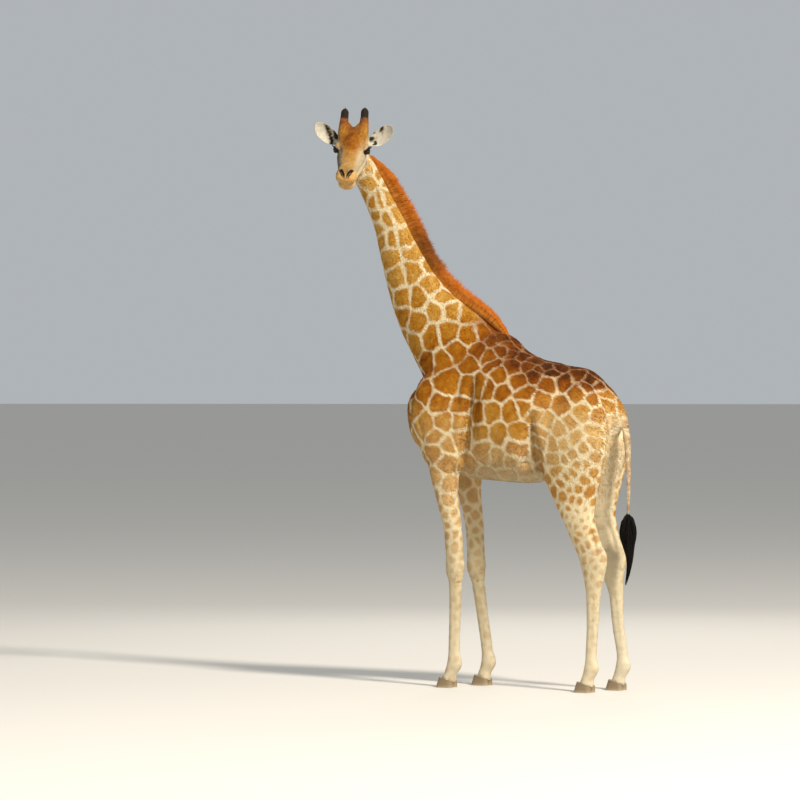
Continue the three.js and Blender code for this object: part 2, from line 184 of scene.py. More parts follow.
def loft(sections, count, sides, grow=0.0, dome=0.0, across=(1, 0, 0), span=(0.0, 1.0), open_start=False):
    """Points and faces of a form. A section holds x, y, z, side, back, front in mm, then its squareness
    and how far it is cupped, where those differ from the usual."""
    rows = np.array([tuple(s) + (ROUND, 0.0)[len(s) - 6 :] for s in sections], float)
    rows[:, :6] *= MM
    rows[:, 7] *= MM
    t = np.linspace(*span, count)
    centre = spline(rows[:, :3], t)
    along = unit(spline(rows[:, :3], np.minimum(t + 1e-4, 1)) - spline(rows[:, :3], np.maximum(t - 1e-4, 0)))
    side, back, front = (spline(rows[:, 3:6], t) + grow).T[:, :, None]
    square, cup = spline(rows[:, 6:8], t).T[:, :, None]
    left = unit(np.array(across, float) - along * (along @ np.array(across, float))[:, None])
    rear = np.cross(left, along)
    angle = np.arange(sides) / sides * 2 * math.pi
    u, v = [np.sign(w) * np.abs(w) ** (2 / square) for w in (-np.cos(angle)[None], -np.sin(angle)[None])]
    lift = v * np.where(v > 0, back, front) + cup * (1 - u * u)
    rings = centre[:, None] + left[:, None] * (u * side)[..., None] + rear[:, None] * lift[..., None]
    tips = [centre[0] - along[0] * (dome + grow), centre[-1] + along[-1] * (dome + grow)]
    points = np.vstack([rings.reshape(-1, 3), tips])
    faces = []
    for r in range(count - 1):
        for k in range(sides):
            a, b = r * sides + k, r * sides + (k + 1) % sides
            faces.append((a, b, b + sides, a + sides))
    last = (count - 1) * sides
    for k in range(sides):
        if not open_start:
            faces.append((count * sides, (k + 1) % sides, k))
        faces.append((count * sides + 1, last + k, last + (k + 1) % sides))
    return points, faces


def egg(radius, at, stretch=(1, 1, 1)):
    """A ball, stretched into an egg, as points and faces."""
    ball = bmesh.new()
    bmesh.ops.create_icosphere(ball, subdivisions=4, radius=radius * MM)
    points = np.array([v.co[:] for v in ball.verts]) * stretch + np.array(at) * MM
    faces = [tuple(v.index for v in f.verts) for f in ball.faces]
    ball.free()
    return points, faces


# %% [markdown]
# ## The measurements of the flesh
# These are the sections of the trunk, neck, legs, tail and head. The legs are told by where the knee,
# hock, fetlock and hoof stand, because a standing animal shifts its weight and no two legs are alike.

# %% Trunk, neck and tail
TRUNK = [
    (0, -912, 2065, 60, 65, 80),
    (0, -862, 2065, 135, 160, 190),
    (0, -735, 2050, 192, 320, 320),
    (0, -520, 2060, 226, 560, 470),
    (0, -280, 2030, 268, 640, 484),
    (0, -60, 1990, 310, 572, 460),
    (0, 180, 1980, 320, 472, 450),
    (0, 400, 1990, 280, 420, 360),
    (0, 580, 2010, 228, 360, 310),
    (0, 740, 1996, 170, 214, 260),
    (0, 824, 1980, 110, 118, 180),
    (0, 862, 1965, 45, 50, 90),
]
NECK = [
    (150, -1296, 4020, 66, 66, 64),
    (116, -1284, 3940, 84, 104, 92),
    (88, -1246, 3850, 86, 116, 108),
    (52, -1165, 3680, 88, 122, 120),
    (22, -1072, 3480, 94, 136, 144),
    (6, -996, 3260, 104, 164, 174),
    (0, -900, 3030, 120, 205, 210),
    (0, -790, 2810, 150, 275, 238),
    (0, -660, 2590, 180, 378, 245),
    (0, -500, 2350, 190, 460, 270),
]
TAIL = [
    (0, 730, 2200, 44, 44, 44),
    (0, 800, 2122, 48, 44, 44),
    (0, 860, 2024, 42, 38, 38),
    (0, 898, 1900, 32, 29, 29),
    (0, 915, 1710, 22, 21, 21),
    (2, 919, 1520, 16, 16, 16),
    (4, 916, 1270, 11, 11, 11),
]

# %% Legs
TRACK = 172  # half the distance between the two fore feet, and between the two hind feet


def fore_leg(way, knee, fetlock, hoof):
    x = way * TRACK
    below = fetlock - knee
    return [
        (way * 95, -400, 2500, 40, 60, 60),
        (way * 132, -470, 2370, 80, 140, 130),
        (way * 152, -550, 2190, 116, 285, 225),
        (way * 163, -560, 2000, 130, 330, 245),
        (way * 172, -540, 1810, 122, 255, 190),
        (way * 176, -518, 1690, 100, 176, 162),
        (way * 177, -524, 1590, 88, 122, 118),
        (way * 178, -505, 1430, 78, 90, 88),
        (way * 176, (knee * 3 - 505) / 4 - 8, 1200, 66, 74, 74),
        (x, knee - 10, 1010, 62, 70, 72),
        (x, knee, 880, 68, 66, 76),
        (x, knee + below * 0.12, 770, 48, 54, 54),
        (x, knee + below * 0.5, 520, 43, 48, 46),
        (x, knee + below * 0.9, 280, 44, 48, 46),
        (x, fetlock, 172, 54, 62, 56),
        (x, (fetlock + hoof) / 2, 112, 52, 50, 50),
        (x, hoof + 4, 50, 60, 58, 58),
    ]


def hind_leg(way, hock, fetlock, hoof):
    x = way * TRACK
    below = fetlock - hock
    return [
        (way * 95, 520, 2290, 50, 80, 90),
        (way * 130, 545, 2180, 100, 180, 210),
        (way * 160, 566, 2010, 136, 254, 300),
        (way * 167, 564, 1820, 142, 278, 325),
        (way * 170, 560, 1630, 122, 243, 275),
        (way * 172, 574, 1440, 90, 184, 190),
        (way * 174, 614, 1250, 72, 112, 128),
        (x, hock - 44, 1070, 58, 108, 112),
        (x, hock - 8, 960, 62, 114, 104),
        (x, hock - 2, 860, 55, 90, 88),
        (x, hock + below * 0.28, 710, 47, 60, 58),
        (x, hock + below * 0.5, 480, 41, 50, 48),
        (x, hock + below * 0.95, 270, 43, 47, 45),
        (x, fetlock, 172, 53, 60, 56),
        (x, (fetlock + hoof) / 2, 112, 51, 50, 50),
        (x, hoof + 4, 50, 58, 56, 56),
    ]


STANCE = {  # left or right, then how far back the knee or hock, the fetlock and the hoof stand
    "fore_left": (1, -433, -450, -500),
    "fore_right": (-1, -440, -346, -388),
    "hind_left": (1, 722, 696, 654),
    "hind_right": (-1, 708, 783, 740),
}
LEGS = {name: (fore_leg if "fore" in name else hind_leg)(*stance) for name, stance in STANCE.items()}

# %% Head
# The head is told facing -Y with the skull level, and then turned, lowered and tilted on the neck.
HEAD_AT = (284, -1264, 3992)  # midway between the eyes
HEAD_TURN, HEAD_DROP, HEAD_TILT = 111, 36, 3.5  # degrees
SKULL = [
    (0, -376, 2, 34, 18, 24),
    (0, -362, 6, 64, 38, 42),
    (0, -318, 8, 80, 54, 52),
    (0, -260, 8, 76, 58, 52),
    (0, -180, 0, 84, 72, 54, 1.9),
    (0, -100, -6, 100, 94, 62, 1.8),
    (0, -40, -6, 108, 118, 70, 1.9),
    (0, 30, -4, 108, 136, 80),
    (0, 100, 0, 102, 146, 84),
    (0, 168, -2, 86, 134, 84),
    (0, 220, -14, 56, 78, 62),
]
JAW = [
    (0, -352, -50, 36, 20, 28),
    (0, -326, -54, 64, 26, 42),
    (0, -265, -56, 62, 28, 38),
    (0, -180, -60, 76, 36, 42),
    (0, -90, -66, 94, 50, 60),
    (0, 0, -72, 102, 60, 76),
    (0, 80, -68, 92, 60, 78),
    (0, 130, -56, 70, 44, 56),
    (0, 160, -46, 40, 26, 30),
]
CREST = [(x, 96, 96, 36, 40, 74 + 0.9 * abs(x)) for x in (-60, -30, 0, 30, 60)]  # between the ossicones
HORN_RISE = {1: 253, -1: 245}  # the full height of the left and the right ossicone
EYE_RADIUS = 25
EYE = (115, -2, 40)


def ossicone(way):
    rise = HORN_RISE[way]
    return [
        (way * 50, 34, 16, 34, 34, 34),
        (way * 59, 77, 71, 55, 56, 55),
        (way * 67, 112, 110, 53, 49, 47),
        (way * 75, 154, 154, 40, 38, 37),
        (way * 76, rise - 47, rise - 50, 32, 32, 32),
        (way * 75, rise - 17, rise - 20, 31, 31, 31),
        (way * 74, rise, rise - 3, 18, 18, 18),
    ]


def ear(way):
    return [
        (way * 84, 112, 40, 24, 22, 22, ROUND, 0),
        (way * 130, 120, 44, 38, 15, 14, ROUND, 18),
        (way * 178, 130, 62, 57, 8, 7, ROUND, 32),
        (way * 226, 144, 96, 59, 6, 6, ROUND, 28),
        (way * 268, 156, 138, 42, 5, 5, ROUND, 14),
        (way * 291, 160, 162, 8, 4, 4, ROUND, 0),
    ]


def ear_across(way):
    """The direction across the open ear."""
    return -0.5525, way * 0.48, way * 0.661


head_place = Matrix.Translation(Vector(HEAD_AT) * MM)
for angle, axis in ((HEAD_TURN, "Z"), (HEAD_DROP, "X"), (HEAD_TILT, "Y")):
    head_place = head_place @ Matrix.Rotation(math.radians(angle), 4, axis)
HEAD = np.array(head_place)
HEAD_BACK = np.array(head_place.inverted())


def from_head(points):
    """Points told in the level head, in the frame of the trunk."""
    return points @ HEAD[:3, :3].T + HEAD[:3, 3]


def to_head(points):
    return points @ HEAD_BACK[:3, :3].T + HEAD_BACK[:3, 3]


# %% [markdown]
# ## One skin
# A seam would show wherever two solids meet, so all the forms are fused into one surface. Blender's
# voxel remesh does that: it fills the overlapping forms with small cubes and wraps them in even faces.
# The head needs finer faces than the trunk, so head and body are fused apart at their own sizes, cut
# flat across the neck, and sewn together there, as is the thin tail.

# %% Fusing and smoothing tools
def mesh_object(name, points, faces):
    made = bpy.data.meshes.new(name)
    made.from_pydata(np.asarray(points).tolist(), [], faces)
    made.validate()
    return add_object(name, made)


def gathered(forms):
    """Several forms' points and faces as one list of each."""
    points, faces, start = [], [], 0
    for p, f in forms:
        points.append(p)
        faces += [tuple(i + start for i in face) for face in f]
        start += len(p)
    return np.vstack(points), faces


def fused(forms, voxel):
    """The forms joined by a voxel remesh, as a mesh."""
    rough = mesh_object("rough", *gathered(forms))
    remesh = rough.modifiers.new("fuse", "REMESH")
    remesh.mode = "VOXEL"
    remesh.voxel_size = voxel
    made = bpy.data.meshes.new_from_object(rough.evaluated_get(bpy.context.evaluated_depsgraph_get()))
    bpy.data.objects.remove(rough)
    return made


def points_of(mesh):
    co = np.zeros(len(mesh.vertices) * 3, np.float32)
    mesh.vertices.foreach_get("co", co)
    return co.reshape(-1, 3).astype(float)


def normals_of(mesh):
    no = np.zeros(len(mesh.vertices) * 3, np.float32)
    mesh.vertex_normals.foreach_get("vector", no)
    return no.reshape(-1, 3).astype(float)


def edges_of(mesh):
    pairs = np.zeros(len(mesh.edges) * 2, np.int32)
    mesh.edges.foreach_get("vertices", pairs)
    return pairs.reshape(-1, 2)


def put_points(mesh, co):
    mesh.vertices.foreach_set("co", co.astype(np.float32).ravel())
    mesh.update()


def smooth(mesh, rounds, where=None, shares=(0.55, -0.57)):
    """Evens out the remesh's small steps without shrinking the form: each round goes in, then out. With
    one share only it goes in, and melts the joins between forms."""
    co, (a, b) = points_of(mesh), edges_of(mesh).T
    degree = np.bincount(a, minlength=len(co)) + np.bincount(b, minlength=len(co))
    weight = np.ones(len(co)) if where is None else where
    for _ in range(rounds):
        for share in shares:
            total = [np.bincount(a, co[b, k], len(co)) + np.bincount(b, co[a, k], len(co)) for k in range(3)]
            mean = np.array(total).T / np.maximum(degree, 1)[:, None]
            co = co + share * weight[:, None] * (mean - co)
    put_points(mesh, co)


# %% Fuse the body and the head
BODY_COAT = 5 * MM  # depth of the coat on the body: the skin lies this far inside the solids
FACE_COAT = 2 * MM
BODY_VOXEL = 0.013
HEAD_VOXEL = 0.004
EAR_SEAM = 0.26  # share of the ear's length that is fused with the head

body_forms = [loft(TRUNK, 110, 72, -BODY_COAT), loft(NECK, 90, 48, -BODY_COAT, dome=0.01)]
body_forms += [loft(leg, 150, 36, -BODY_COAT) for leg in LEGS.values()]
body_forms.append(loft(TAIL, 60, 24, -BODY_COAT, span=(0, 0.6)))
body_mesh = fused(body_forms, BODY_VOXEL)

head_forms = [loft(SKULL, 90, 48, -FACE_COAT, dome=0.004), loft(JAW, 70, 40, -FACE_COAT, dome=0.004)]
head_forms.append(loft(CREST, 24, 32, -FACE_COAT, across=(0, 1, -1)))
for way in (1, -1):
    head_forms.append(egg(44 - 2, (way * 92, 16, 44), (1, 1.2, 0.95)))
    head_forms.append(egg(24 - 2, (way * 44, -318, 38), (1, 1.5, 0.8)))
    head_forms.append(loft(ossicone(way), 40, 28, -FACE_COAT, dome=0.005))
    head_forms.append(loft(ear(way), 30, 40, -0.0005, across=ear_across(way), span=(0, EAR_SEAM + 0.05)))
head_forms = [(from_head(points), faces) for points, faces in head_forms]
head_forms.append(loft(NECK, 90, 48, -BODY_COAT, dome=0.01, span=(0, 0.5)))
head_mesh = fused(head_forms, HEAD_VOXEL)
smooth(body_mesh, 6)
smooth(head_mesh, 3)
print("body", len(body_mesh.polygons), "faces, head", len(head_mesh.polygons), "faces before sewing")

# %% [markdown]
# ## Muscles, bones and folds
# Smooth forms look like rubber until bones push out and folds of skin sink in. Each is one stroke, as with
# a sculpting brush: a swelling lifts the surface round a point, and a crease presses it in along a line.
# Strokes in code land in the same place every time, and one loop repeats them on the other side.

# %% Two strokes
def swell(co, no, at, reach, height):
    """Lifts the surface by height mm round a point, fading out at reach mm along each axis."""
    away = (co - np.array(at) * MM) / (np.array(reach) * MM)
    return co + no * (height * MM * np.exp(-1.6 * (away**2).sum(1)))[:, None]


def distance_to(co, path):
    """How far points lie from a line through the path's points, and how far along it they are, 0 to 1."""
    path = np.asarray(path, float) * MM
    best, along = np.full(len(co), 1e9), np.zeros(len(co))
    for k in range(len(path) - 1):
        a, d = path[k], path[k + 1] - path[k]
        t = np.clip((co - a) @ d / (d @ d), 0, 1)
        far = np.linalg.norm(co - a - t[:, None] * d, axis=1)
        along = np.where(far < best, (k + t) / (len(path) - 1), along)
        best = np.minimum(best, far)
    return best, along


def laid_on(co, path):
    """A line through the path's points, drawn smoothly and laid on the surface, in mm."""
    close = spline(np.asarray(path, float), np.linspace(0, 1, 4 * len(path)))
    laid = np.array([co[((co - p * MM) ** 2).sum(1).argmin()] for p in close]) / MM
    laid[1:-1] = (laid[:-2] + laid[1:-1] + laid[2:]) / 3
    return laid


def crease(co, no, path, width, depth):
    """Presses the surface in by depth mm along a line, or lifts it where depth is negative."""
    far, along = distance_to(co, laid_on(co, path))
    ends = np.clip(np.minimum(along, 1 - along) * 5, 0.25, 1)
    return co - no * (depth * MM * ends * np.exp(-2 * (far / (width * MM)) ** 2))[:, None]


# %% Strokes on the body
BODY_SWELLS = [  # on the left side: place, reach, height
    ((150, -770, 2010), (90, 90, 120), 14),  # point of the shoulder
    ((215, -395, 1680), (50, 70, 80), 12),  # elbow
    ((178, 352, 2335), (60, 80, 60), 16),  # hip bone
    ((120, 780, 2110), (60, 60, 70), 12),  # pin bone
    ((300, 290, 1640), (70, 80, 100), 12),  # stifle
    ((292, 300, 1780), (80, 50, 190), -30),  # hollow of the flank
    ((230, 120, 2300), (120, 130, 90), -8),  # hollow of the loin
    ((240, -640, 2300), (90, 110, 120), -7),  # in front of the shoulder blade
]
SHOULDER_FOLD = [
    (251, -245, 2300),
    (258, -276, 2120),
    (262, -292, 1957),
    (246, -314, 1830),
    (225, -345, 1720),
]
FLANK_FOLD = [(306, 262, 2050), (298, 262, 1930), (286, 264, 1800), (262, 272, 1670), (215, 285, 1575)]
BODY_CREASES = [  # on the left side: line, width, depth
    # behind the shoulder
    ([(264, -225, 2270), (270, -232, 2060), (260, -246, 1860), (242, -270, 1700)], 70, 20),
    (SHOULDER_FOLD, 36, 50),
    ([(244, -318, 2260), (262, -346, 2060), (256, -372, 1860)], 50, -18),  # rear edge of the shoulder
    ([(262, -205, 2240), (272, -220, 2060), (262, -236, 1860)], 24, 9),
    ([(190, -350, 2480), (214, -480, 2260), (240, -610, 2040)], 55, -8),  # spine of the shoulder blade
    ([(96, -800, 2370), (150, -700, 2450), (181, -632, 2520)], 28, 22),  # fold at the foot of the neck
    ([(110, -770, 2450), (150, -710, 2520), (180, -650, 2590)], 20, 10),
    ([(262, -700, 2010), (276, -662, 1919), (262, -640, 1800)], 26, 10),  # between breast and shoulder
    ([(304, 232, 2010), (296, 214, 1840), (272, 200, 1690), (225, 196, 1570)], 85, 38),  # the flank draws in
    (FLANK_FOLD, 34, 46),
    ([(300, 318, 1960), (300, 326, 1800), (288, 336, 1660)], 44, -12),  # front edge of the thigh
    ([(196, 800, 1900), (170, 817, 1740), (160, 772, 1557), (150, 735, 1410)], 26, 8),  # back of the thigh
    ([(205, -352, 1740), (200, -370, 1660), (190, -392, 1600)], 16, 13),  # wrinkles at the elbow
    ([(224, -392, 1720), (226, -396, 1660), (205, -402, 1600)], 14, 11),
    ([(236, -420, 1700), (236, -424, 1650), (222, -428, 1600)], 14, 8),
    ([(60, -1000, 3560), (88, -960, 3300), (110, -900, 3060), (140, -800, 2800)], 45, 5),  # windpipe's edge
]
BACKBONE = [(0, -60, 2560), (0, 200, 2455), (0, 400, 2412), (0, 600, 2372), (0, 760, 2212)]


def leg_strokes(co, no, name, way, joint, fetlock, hoof):
    """The bones and sinews of one lower leg."""
    x = way * TRACK
    bone_top, bone_foot = (780, joint), (250, joint + (fetlock - joint) * 0.92)
    if "fore" in name:
        co = swell(co, no, (x, joint - 66, 885), (44, 34, 80), 7)
        co = swell(co, no, (x, joint + 62, 905), (26, 34, 44), 13)
        co = crease(co, no, [(x, joint + 60, 800), (x, joint + 52, 740)], 40, 6)
    else:
        co = swell(co, no, (x, joint + 96, 1020), (26, 34, 60), 10)
        co = swell(co, no, (x, joint - 84, 930), (36, 34, 60), 6)
        for side in (-1, 1):
            hollow = [(x + side * 50, joint - 24, 1235), (x + side * 50, joint + 24, 1110)]
            co = crease(co, no, hollow + [(x + side * 52, joint + 42, 1010)], 26, 15)
    for side in (-1, 1):
        sinew = [(x + side * 44, y + 14, z) for z, y in (bone_top, bone_foot)]
        co = crease(co, no, sinew, 17, 5)
    return swell(co, no, (x, fetlock + 48, 182), (36, 30, 40), 8)


co, no = points_of(body_mesh), normals_of(body_mesh)
for way in (1, -1):
    for at, reach, height in BODY_SWELLS:
        co = swell(co, no, (at[0] * way, *at[1:]), reach, height)
    for path, width, depth in BODY_CREASES:
        co = crease(co, no, [(x * way, y, z) for x, y, z in path], width, depth)
co = crease(co, no, BACKBONE, 60, -8)
for name, (way, joint, fetlock, hoof) in STANCE.items():
    co = leg_strokes(co, no, name, way, joint, fetlock, hoof)
put_points(body_mesh, co)
smooth(body_mesh, 1)
print("body strokes:", 2 * (len(BODY_SWELLS) + len(BODY_CREASES)) + 1, "and the legs")

# %% [markdown]
# ## The face
# The head is worked in its own level frame, where left and right mirror each other: brow, cheek, lips and
# nostrils first, and then the lids. A lid is skin stretched over the eyeball, so round the eye the
# surface is drawn to a thin shell about the ball, and pressed in behind it where the eye is open.

# %% Strokes on the face
FACE_SWELLS = [  # on the left side, in the level head: place, reach, height
    ((0, 30, 138), (42, 60, 40), 9),  # bump of the forehead
    ((84, 66, 92), (32, 34, 34), -9),  # hollow over the eye
    ((106, -14, 74), (30, 34, 20), 5),  # brow
    ((102, 40, -48), (34, 80, 52), 6),  # cheek
    ((92, -130, -18), (26, 60, 30), -5),  # in front of the cheek
    ((46, -338, -8), (36, 34, 24), 8),  # upper lip
    ((62, -306, 26), (24, 30, 26), 5),  # wing of the nostril
    ((0, -346, -84), (44, 30, 26), 5),  # chin
    ((0, -330, 56), (18, 50, 20), -5),  # groove of the nose
]
NOSTRIL = [(12, -368, 22), (19, -354, 40), (31, -334, 54), (44, -308, 58)]
MOUTH = [(0, -392, -24), (50, -376, -26), (76, -330, -30), (82, -270, -36), (84, -226, -36)]
FACE_CREASES = [
    ([(104, -44, 24), (98, -110, 8), (86, -190, -2)], 14, -4),  # ridge below the eye
    (NOSTRIL, 9, 17),
    ([(8, -348, 48), (22, -328, 62), (40, -302, 66)], 7, -4),  # and its upper rim
    (MOUTH, 6, 9),
    ([(0, -392, -4), (0, -386, -26)], 6, 4),  # cleft of the lip
    ([(94, 96, -86), (104, 110, -40), (96, 120, 0)], 18, 7),  # behind the jaw
    ([(100, 24, 84), (90, -20, 84), (80, -44, 62)], 9, 4),  # fold of the upper lid
]
JOINS = [  # on the left side, in the level head: lines where forms melt into one another, and how widely
    ([(84, -226, -44), (98, -130, -56), (104, -20, -62), (100, 90, -64)], 26),
    ([(30, 14, 80), (66, 8, 76), (104, 50, 84), (110, 96, 96), (90, 136, 90)], 26),
    ([(0, 30, 84), (0, 100, 100), (0, 150, 104)], 44),
    ([(56, -60, 60), (84, -34, 30), (96, -30, 0)], 20),
    ([(96, 112, 20), (92, 100, 60), (100, 140, 40)], 16),
    ([(20, -290, 54), (44, -276, 50), (66, -290, 30)], 16),
]
local = to_head(points_of(head_mesh))
melt = np.zeros(len(local))
for path, width in JOINS:
    for way in (1, -1):
        far, _ = distance_to(local, [(x * way, y, z) for x, y, z in path])
        melt = np.maximum(melt, np.clip(1.5 - far / (width * MM), 0, 1))
smooth(head_mesh, 22, melt, (0.6,))
co, no = points_of(head_mesh), normals_of(head_mesh)
local, local_no = to_head(co), no @ HEAD[:3, :3]
for way in (1, -1):
    for at, reach, height in FACE_SWELLS:
        share = 0.5 if at[0] == 0 else 1.0
        local = swell(local, local_no, (at[0] * way, *at[1:]), reach, height * share)
    for path, width, depth in FACE_CREASES:
        local = crease(local, local_no, [(x * way, y, z) for x, y, z in path], width, depth)
put_points(head_mesh, from_head(local))
smooth(head_mesh, 1)
print("face strokes:", 2 * (len(FACE_SWELLS) + len(FACE_CREASES)))

# %% Lids
LID_SHELL = 28.0  # radius of the lids round the middle of the eyeball, in mm
EYE_OPEN = (0.9, 0.64)  # half the opening's length and height, as shares of the lids' radius
EYE_LOOKS = (0.94, -0.28, 0.12)  # outwards, a little forwards and up
EYE_REACH = 0.06


def eye_axes(way):
    """Where an eye looks, and the directions along and across its opening."""
    looks = unit(np.array(EYE_LOOKS) * (way, 1, 1))
    along = unit(np.cross((0, 0.22, 1), looks))
    return looks, along, np.cross(looks, along)


def eye_view(local, way):
    """How far points lie from the middle of an eyeball, their headings along, across and out, and how
    many times wider than the opening they stand."""
    away = local - np.array(EYE) * (way, 1, 1) * MM
    far = np.linalg.norm(away, axis=1)
    heading = np.stack([away @ axis / far for axis in eye_axes(way)[1:] + eye_axes(way)[:1]], 1)
    return far, heading, np.hypot(heading[:, 0] / EYE_OPEN[0], heading[:, 1] / EYE_OPEN[1])


def open_lids(local, way):
    far, heading, opening = eye_view(local, way)
    facing = (heading[:, 2] > 0.05) & (far < EYE_REACH)
    rim = facing & (np.abs(opening - 1) < 0.06)
    heading[rim, :2] /= opening[rim, None]
    heading[rim, 2] = np.sqrt(1 - (heading[rim, :2] ** 2).sum(1))
    opening[rim] = 1
    lift = 1.6 * np.exp(-(((opening - 1.14) / 0.12) ** 2))
    fold = 2.2 * np.exp(-(((opening - 1.5) / 0.1) ** 2)) * np.clip(heading[:, 1] * 3, -0.4, 1)
    shell = (LID_SHELL + lift) * MM
    proud = (far + shell + np.sqrt((far - shell) ** 2 + 0.004**2)) / 2 - fold * MM
    fade = np.clip((EYE_REACH - far) / 0.02, 0, 1)
    moved = np.where(opening < 1, 17 * MM, far + (proud - far) * fade)
    looks, along, across = eye_axes(way)
    turned = heading[:, :1] * along + heading[:, 1:2] * across + heading[:, 2:] * looks
    return np.where(facing[:, None], np.array(EYE) * (way, 1, 1) * MM + turned * moved[:, None], local)


def refine(mesh, near_enough, cuts):
    """Splits the faces into four wherever their corners are near enough."""
    work = bmesh.new()
    work.from_mesh(mesh)
    for _ in range(cuts):
        local = to_head(np.array([v.co[:] for v in work.verts]))
        chosen = near_enough(local)
        work.verts.ensure_lookup_table()
        edges = [e for e in work.edges if chosen[e.verts[0].index] and chosen[e.verts[1].index]]
        bmesh.ops.subdivide_edges(work, edges=edges, cuts=1, use_grid_fill=True)
        work.verts.index_update()
    work.to_mesh(mesh)
    work.free()


def by_an_eye(local):
    return np.min([eye_view(local, way)[0] for way in (1, -1)], axis=0) < 0.042


refine(head_mesh, by_an_eye, 2)
smooth(head_mesh, 2, by_an_eye(to_head(points_of(head_mesh))) * 1.0)
local = to_head(points_of(head_mesh))
for way in (1, -1):
    local = open_lids(local, way)
put_points(head_mesh, from_head(local))
print("lids stand", LID_SHELL - EYE_RADIUS, "mm proud of the eyeball")

# %% [markdown]
# ## Sewing the skin together
# The fine head and the coarser body are cut with the same flat plane across the upper neck, a few
# millimetres apart, and a strip of faces is laid between the two rims. The thin end of the tail is
# sewn on in the same way, since it is too thin for the body's voxels.

# %% Cut and sew
SEAM = np.array([60, -1184, 3720]) * MM  # on the neck's axis, under the jaw
SEAM_UP = unit(np.array([36, -81, 170]))
TAIL_SEAM = 0.5  # share of the tail's length
SEAM_GAP = 0.004


def cut(mesh, at, normal):
    """A working copy of a mesh without what lies beyond a plane."""
    work = bmesh.new()
    work.from_mesh(mesh)
    everything = work.verts[:] + work.edges[:] + work.faces[:]
    bmesh.ops.bisect_plane(work, geom=everything, plane_co=at, plane_no=normal, clear_outer=True)
    return work


def sew(work, at, reach):
    rims = [e for e in work.edges if e.is_boundary and (e.verts[0].co - Vector(at)).length < reach]
    bmesh.ops.bridge_loops(work, edges=rims)


def sew_tip(work, tip, at, along, reach):
    """Cuts a stump off flat, and sews a thin tip with an open start onto it."""
    close = [v for v in work.verts if (v.co - Vector(at)).length < reach]
    around = list({f for v in close for f in v.link_faces})
    parts = list({e for f in around for e in f.edges}) + list({v for f in around for v in f.verts})
    bmesh.ops.bisect_plane(work, geom=around + parts, plane_co=at, plane_no=along, clear_outer=True)
    work.from_mesh(tip.data)
    bpy.data.objects.remove(tip)
    sew(work, at, reach)


def tip_of(name, sections, start, count, sides, grow, across=(1, 0, 0), place=lambda p: p):
    """The thin end of a form, with an open start."""
    points, faces = loft(sections, count, sides, grow, across=across, span=(start, 1), open_start=True)
    unused = count * sides
    points = np.delete(points, unused, axis=0)
    faces = [tuple(i - (i > unused) for i in face) for face in faces]
    return mesh_object(name, place(points), faces)


skin_work = cut(body_mesh, SEAM - SEAM_UP * SEAM_GAP, SEAM_UP)
head_work = cut(head_mesh, SEAM + SEAM_UP * SEAM_GAP, -SEAM_UP)
head_work.to_mesh(head_mesh)
skin_work.from_mesh(head_mesh)
sew(skin_work, SEAM, 0.25)


def stump(sections, share):
    """A form's centre at a share of its length, and the direction that it runs in there."""
    a, b = spline(np.array([s[:3] for s in sections]) * MM, [share, share + 0.01])
    return a, unit(b - a)


tail_at, tail_along = stump(TAIL, TAIL_SEAM)
sew_tip(skin_work, tip_of("tail_tip", TAIL, TAIL_SEAM + 0.015, 90, 20, -0.003), tail_at, tail_along, 0.07)
for way in (1, -1):
    ear_at, ear_along = stump(ear(way), EAR_SEAM)
    tip = tip_of("ear_tip", ear(way), EAR_SEAM + 0.03, 50, 48, -0.0005, ear_across(way), from_head)
    sew_tip(skin_work, tip, from_head(ear_at[None])[0], HEAD[:3, :3] @ ear_along, 0.075)
bmesh.ops.recalc_face_normals(skin_work, faces=skin_work.faces[:])
skin_mesh = bpy.data.meshes.new("skin")
skin_work.to_mesh(skin_mesh)
open_edges = sum(e.is_boundary for e in skin_work.edges)
skin_work.free()
head_work.free()


def near(co, at, reach):
    """A weight that is 1 at a point and fades to 0 at its reach."""
    return np.clip(1 - np.linalg.norm(co - at, axis=1) / reach, 0, 1)


co = points_of(skin_mesh)
at_seams = np.minimum(1, 3 * near(co, SEAM, 0.16) + 3 * near(co, tail_at, 0.06))
seam_band = np.abs((co - SEAM) @ SEAM_UP) < 0.03
smooth(skin_mesh, 6, at_seams * np.where(near(co, SEAM, 0.25) > 0, seam_band, 1))
print("skin:", len(skin_mesh.polygons), "faces,", open_edges, "open edges")

# %% [markdown]
# ## Patches
# A giraffe's patches grow outwards from centres in the young skin until only pale lines are left between
# neighbours, which is how Voronoi cells form. So the pattern is made that way: each point belongs to its
# nearest centre, and the line runs where two centres are equally near. The patches that tell one animal
# from another are listed, and chance fills in the rest at the spacing each region has.

# %% Random values that change smoothly
chance = np.random.RandomState(11)
LATTICE = chance.uniform(-1, 1, (32, 32, 32))


def cloud(co, size, shift=0.0):
    """Smooth random values between -1 and 1, which change over about size metres."""
    cell = np.floor(co / size + shift).astype(int)
    part = co / size + shift - cell
    part = part * part * (3 - 2 * part)
    total = np.zeros(len(co))
    for corner in np.ndindex(2, 2, 2):
        weight = np.prod(np.where(corner, part, 1 - part), axis=1)
        total += weight * LATTICE[tuple(((cell + corner) % 32).T)]
    return total


def ramp(value, start, end):
    """0 before start, 1 after end, smooth between."""
    t = np.clip((value - start) / (end - start), 0, 1)
    return t * t * (3 - 2 * t)


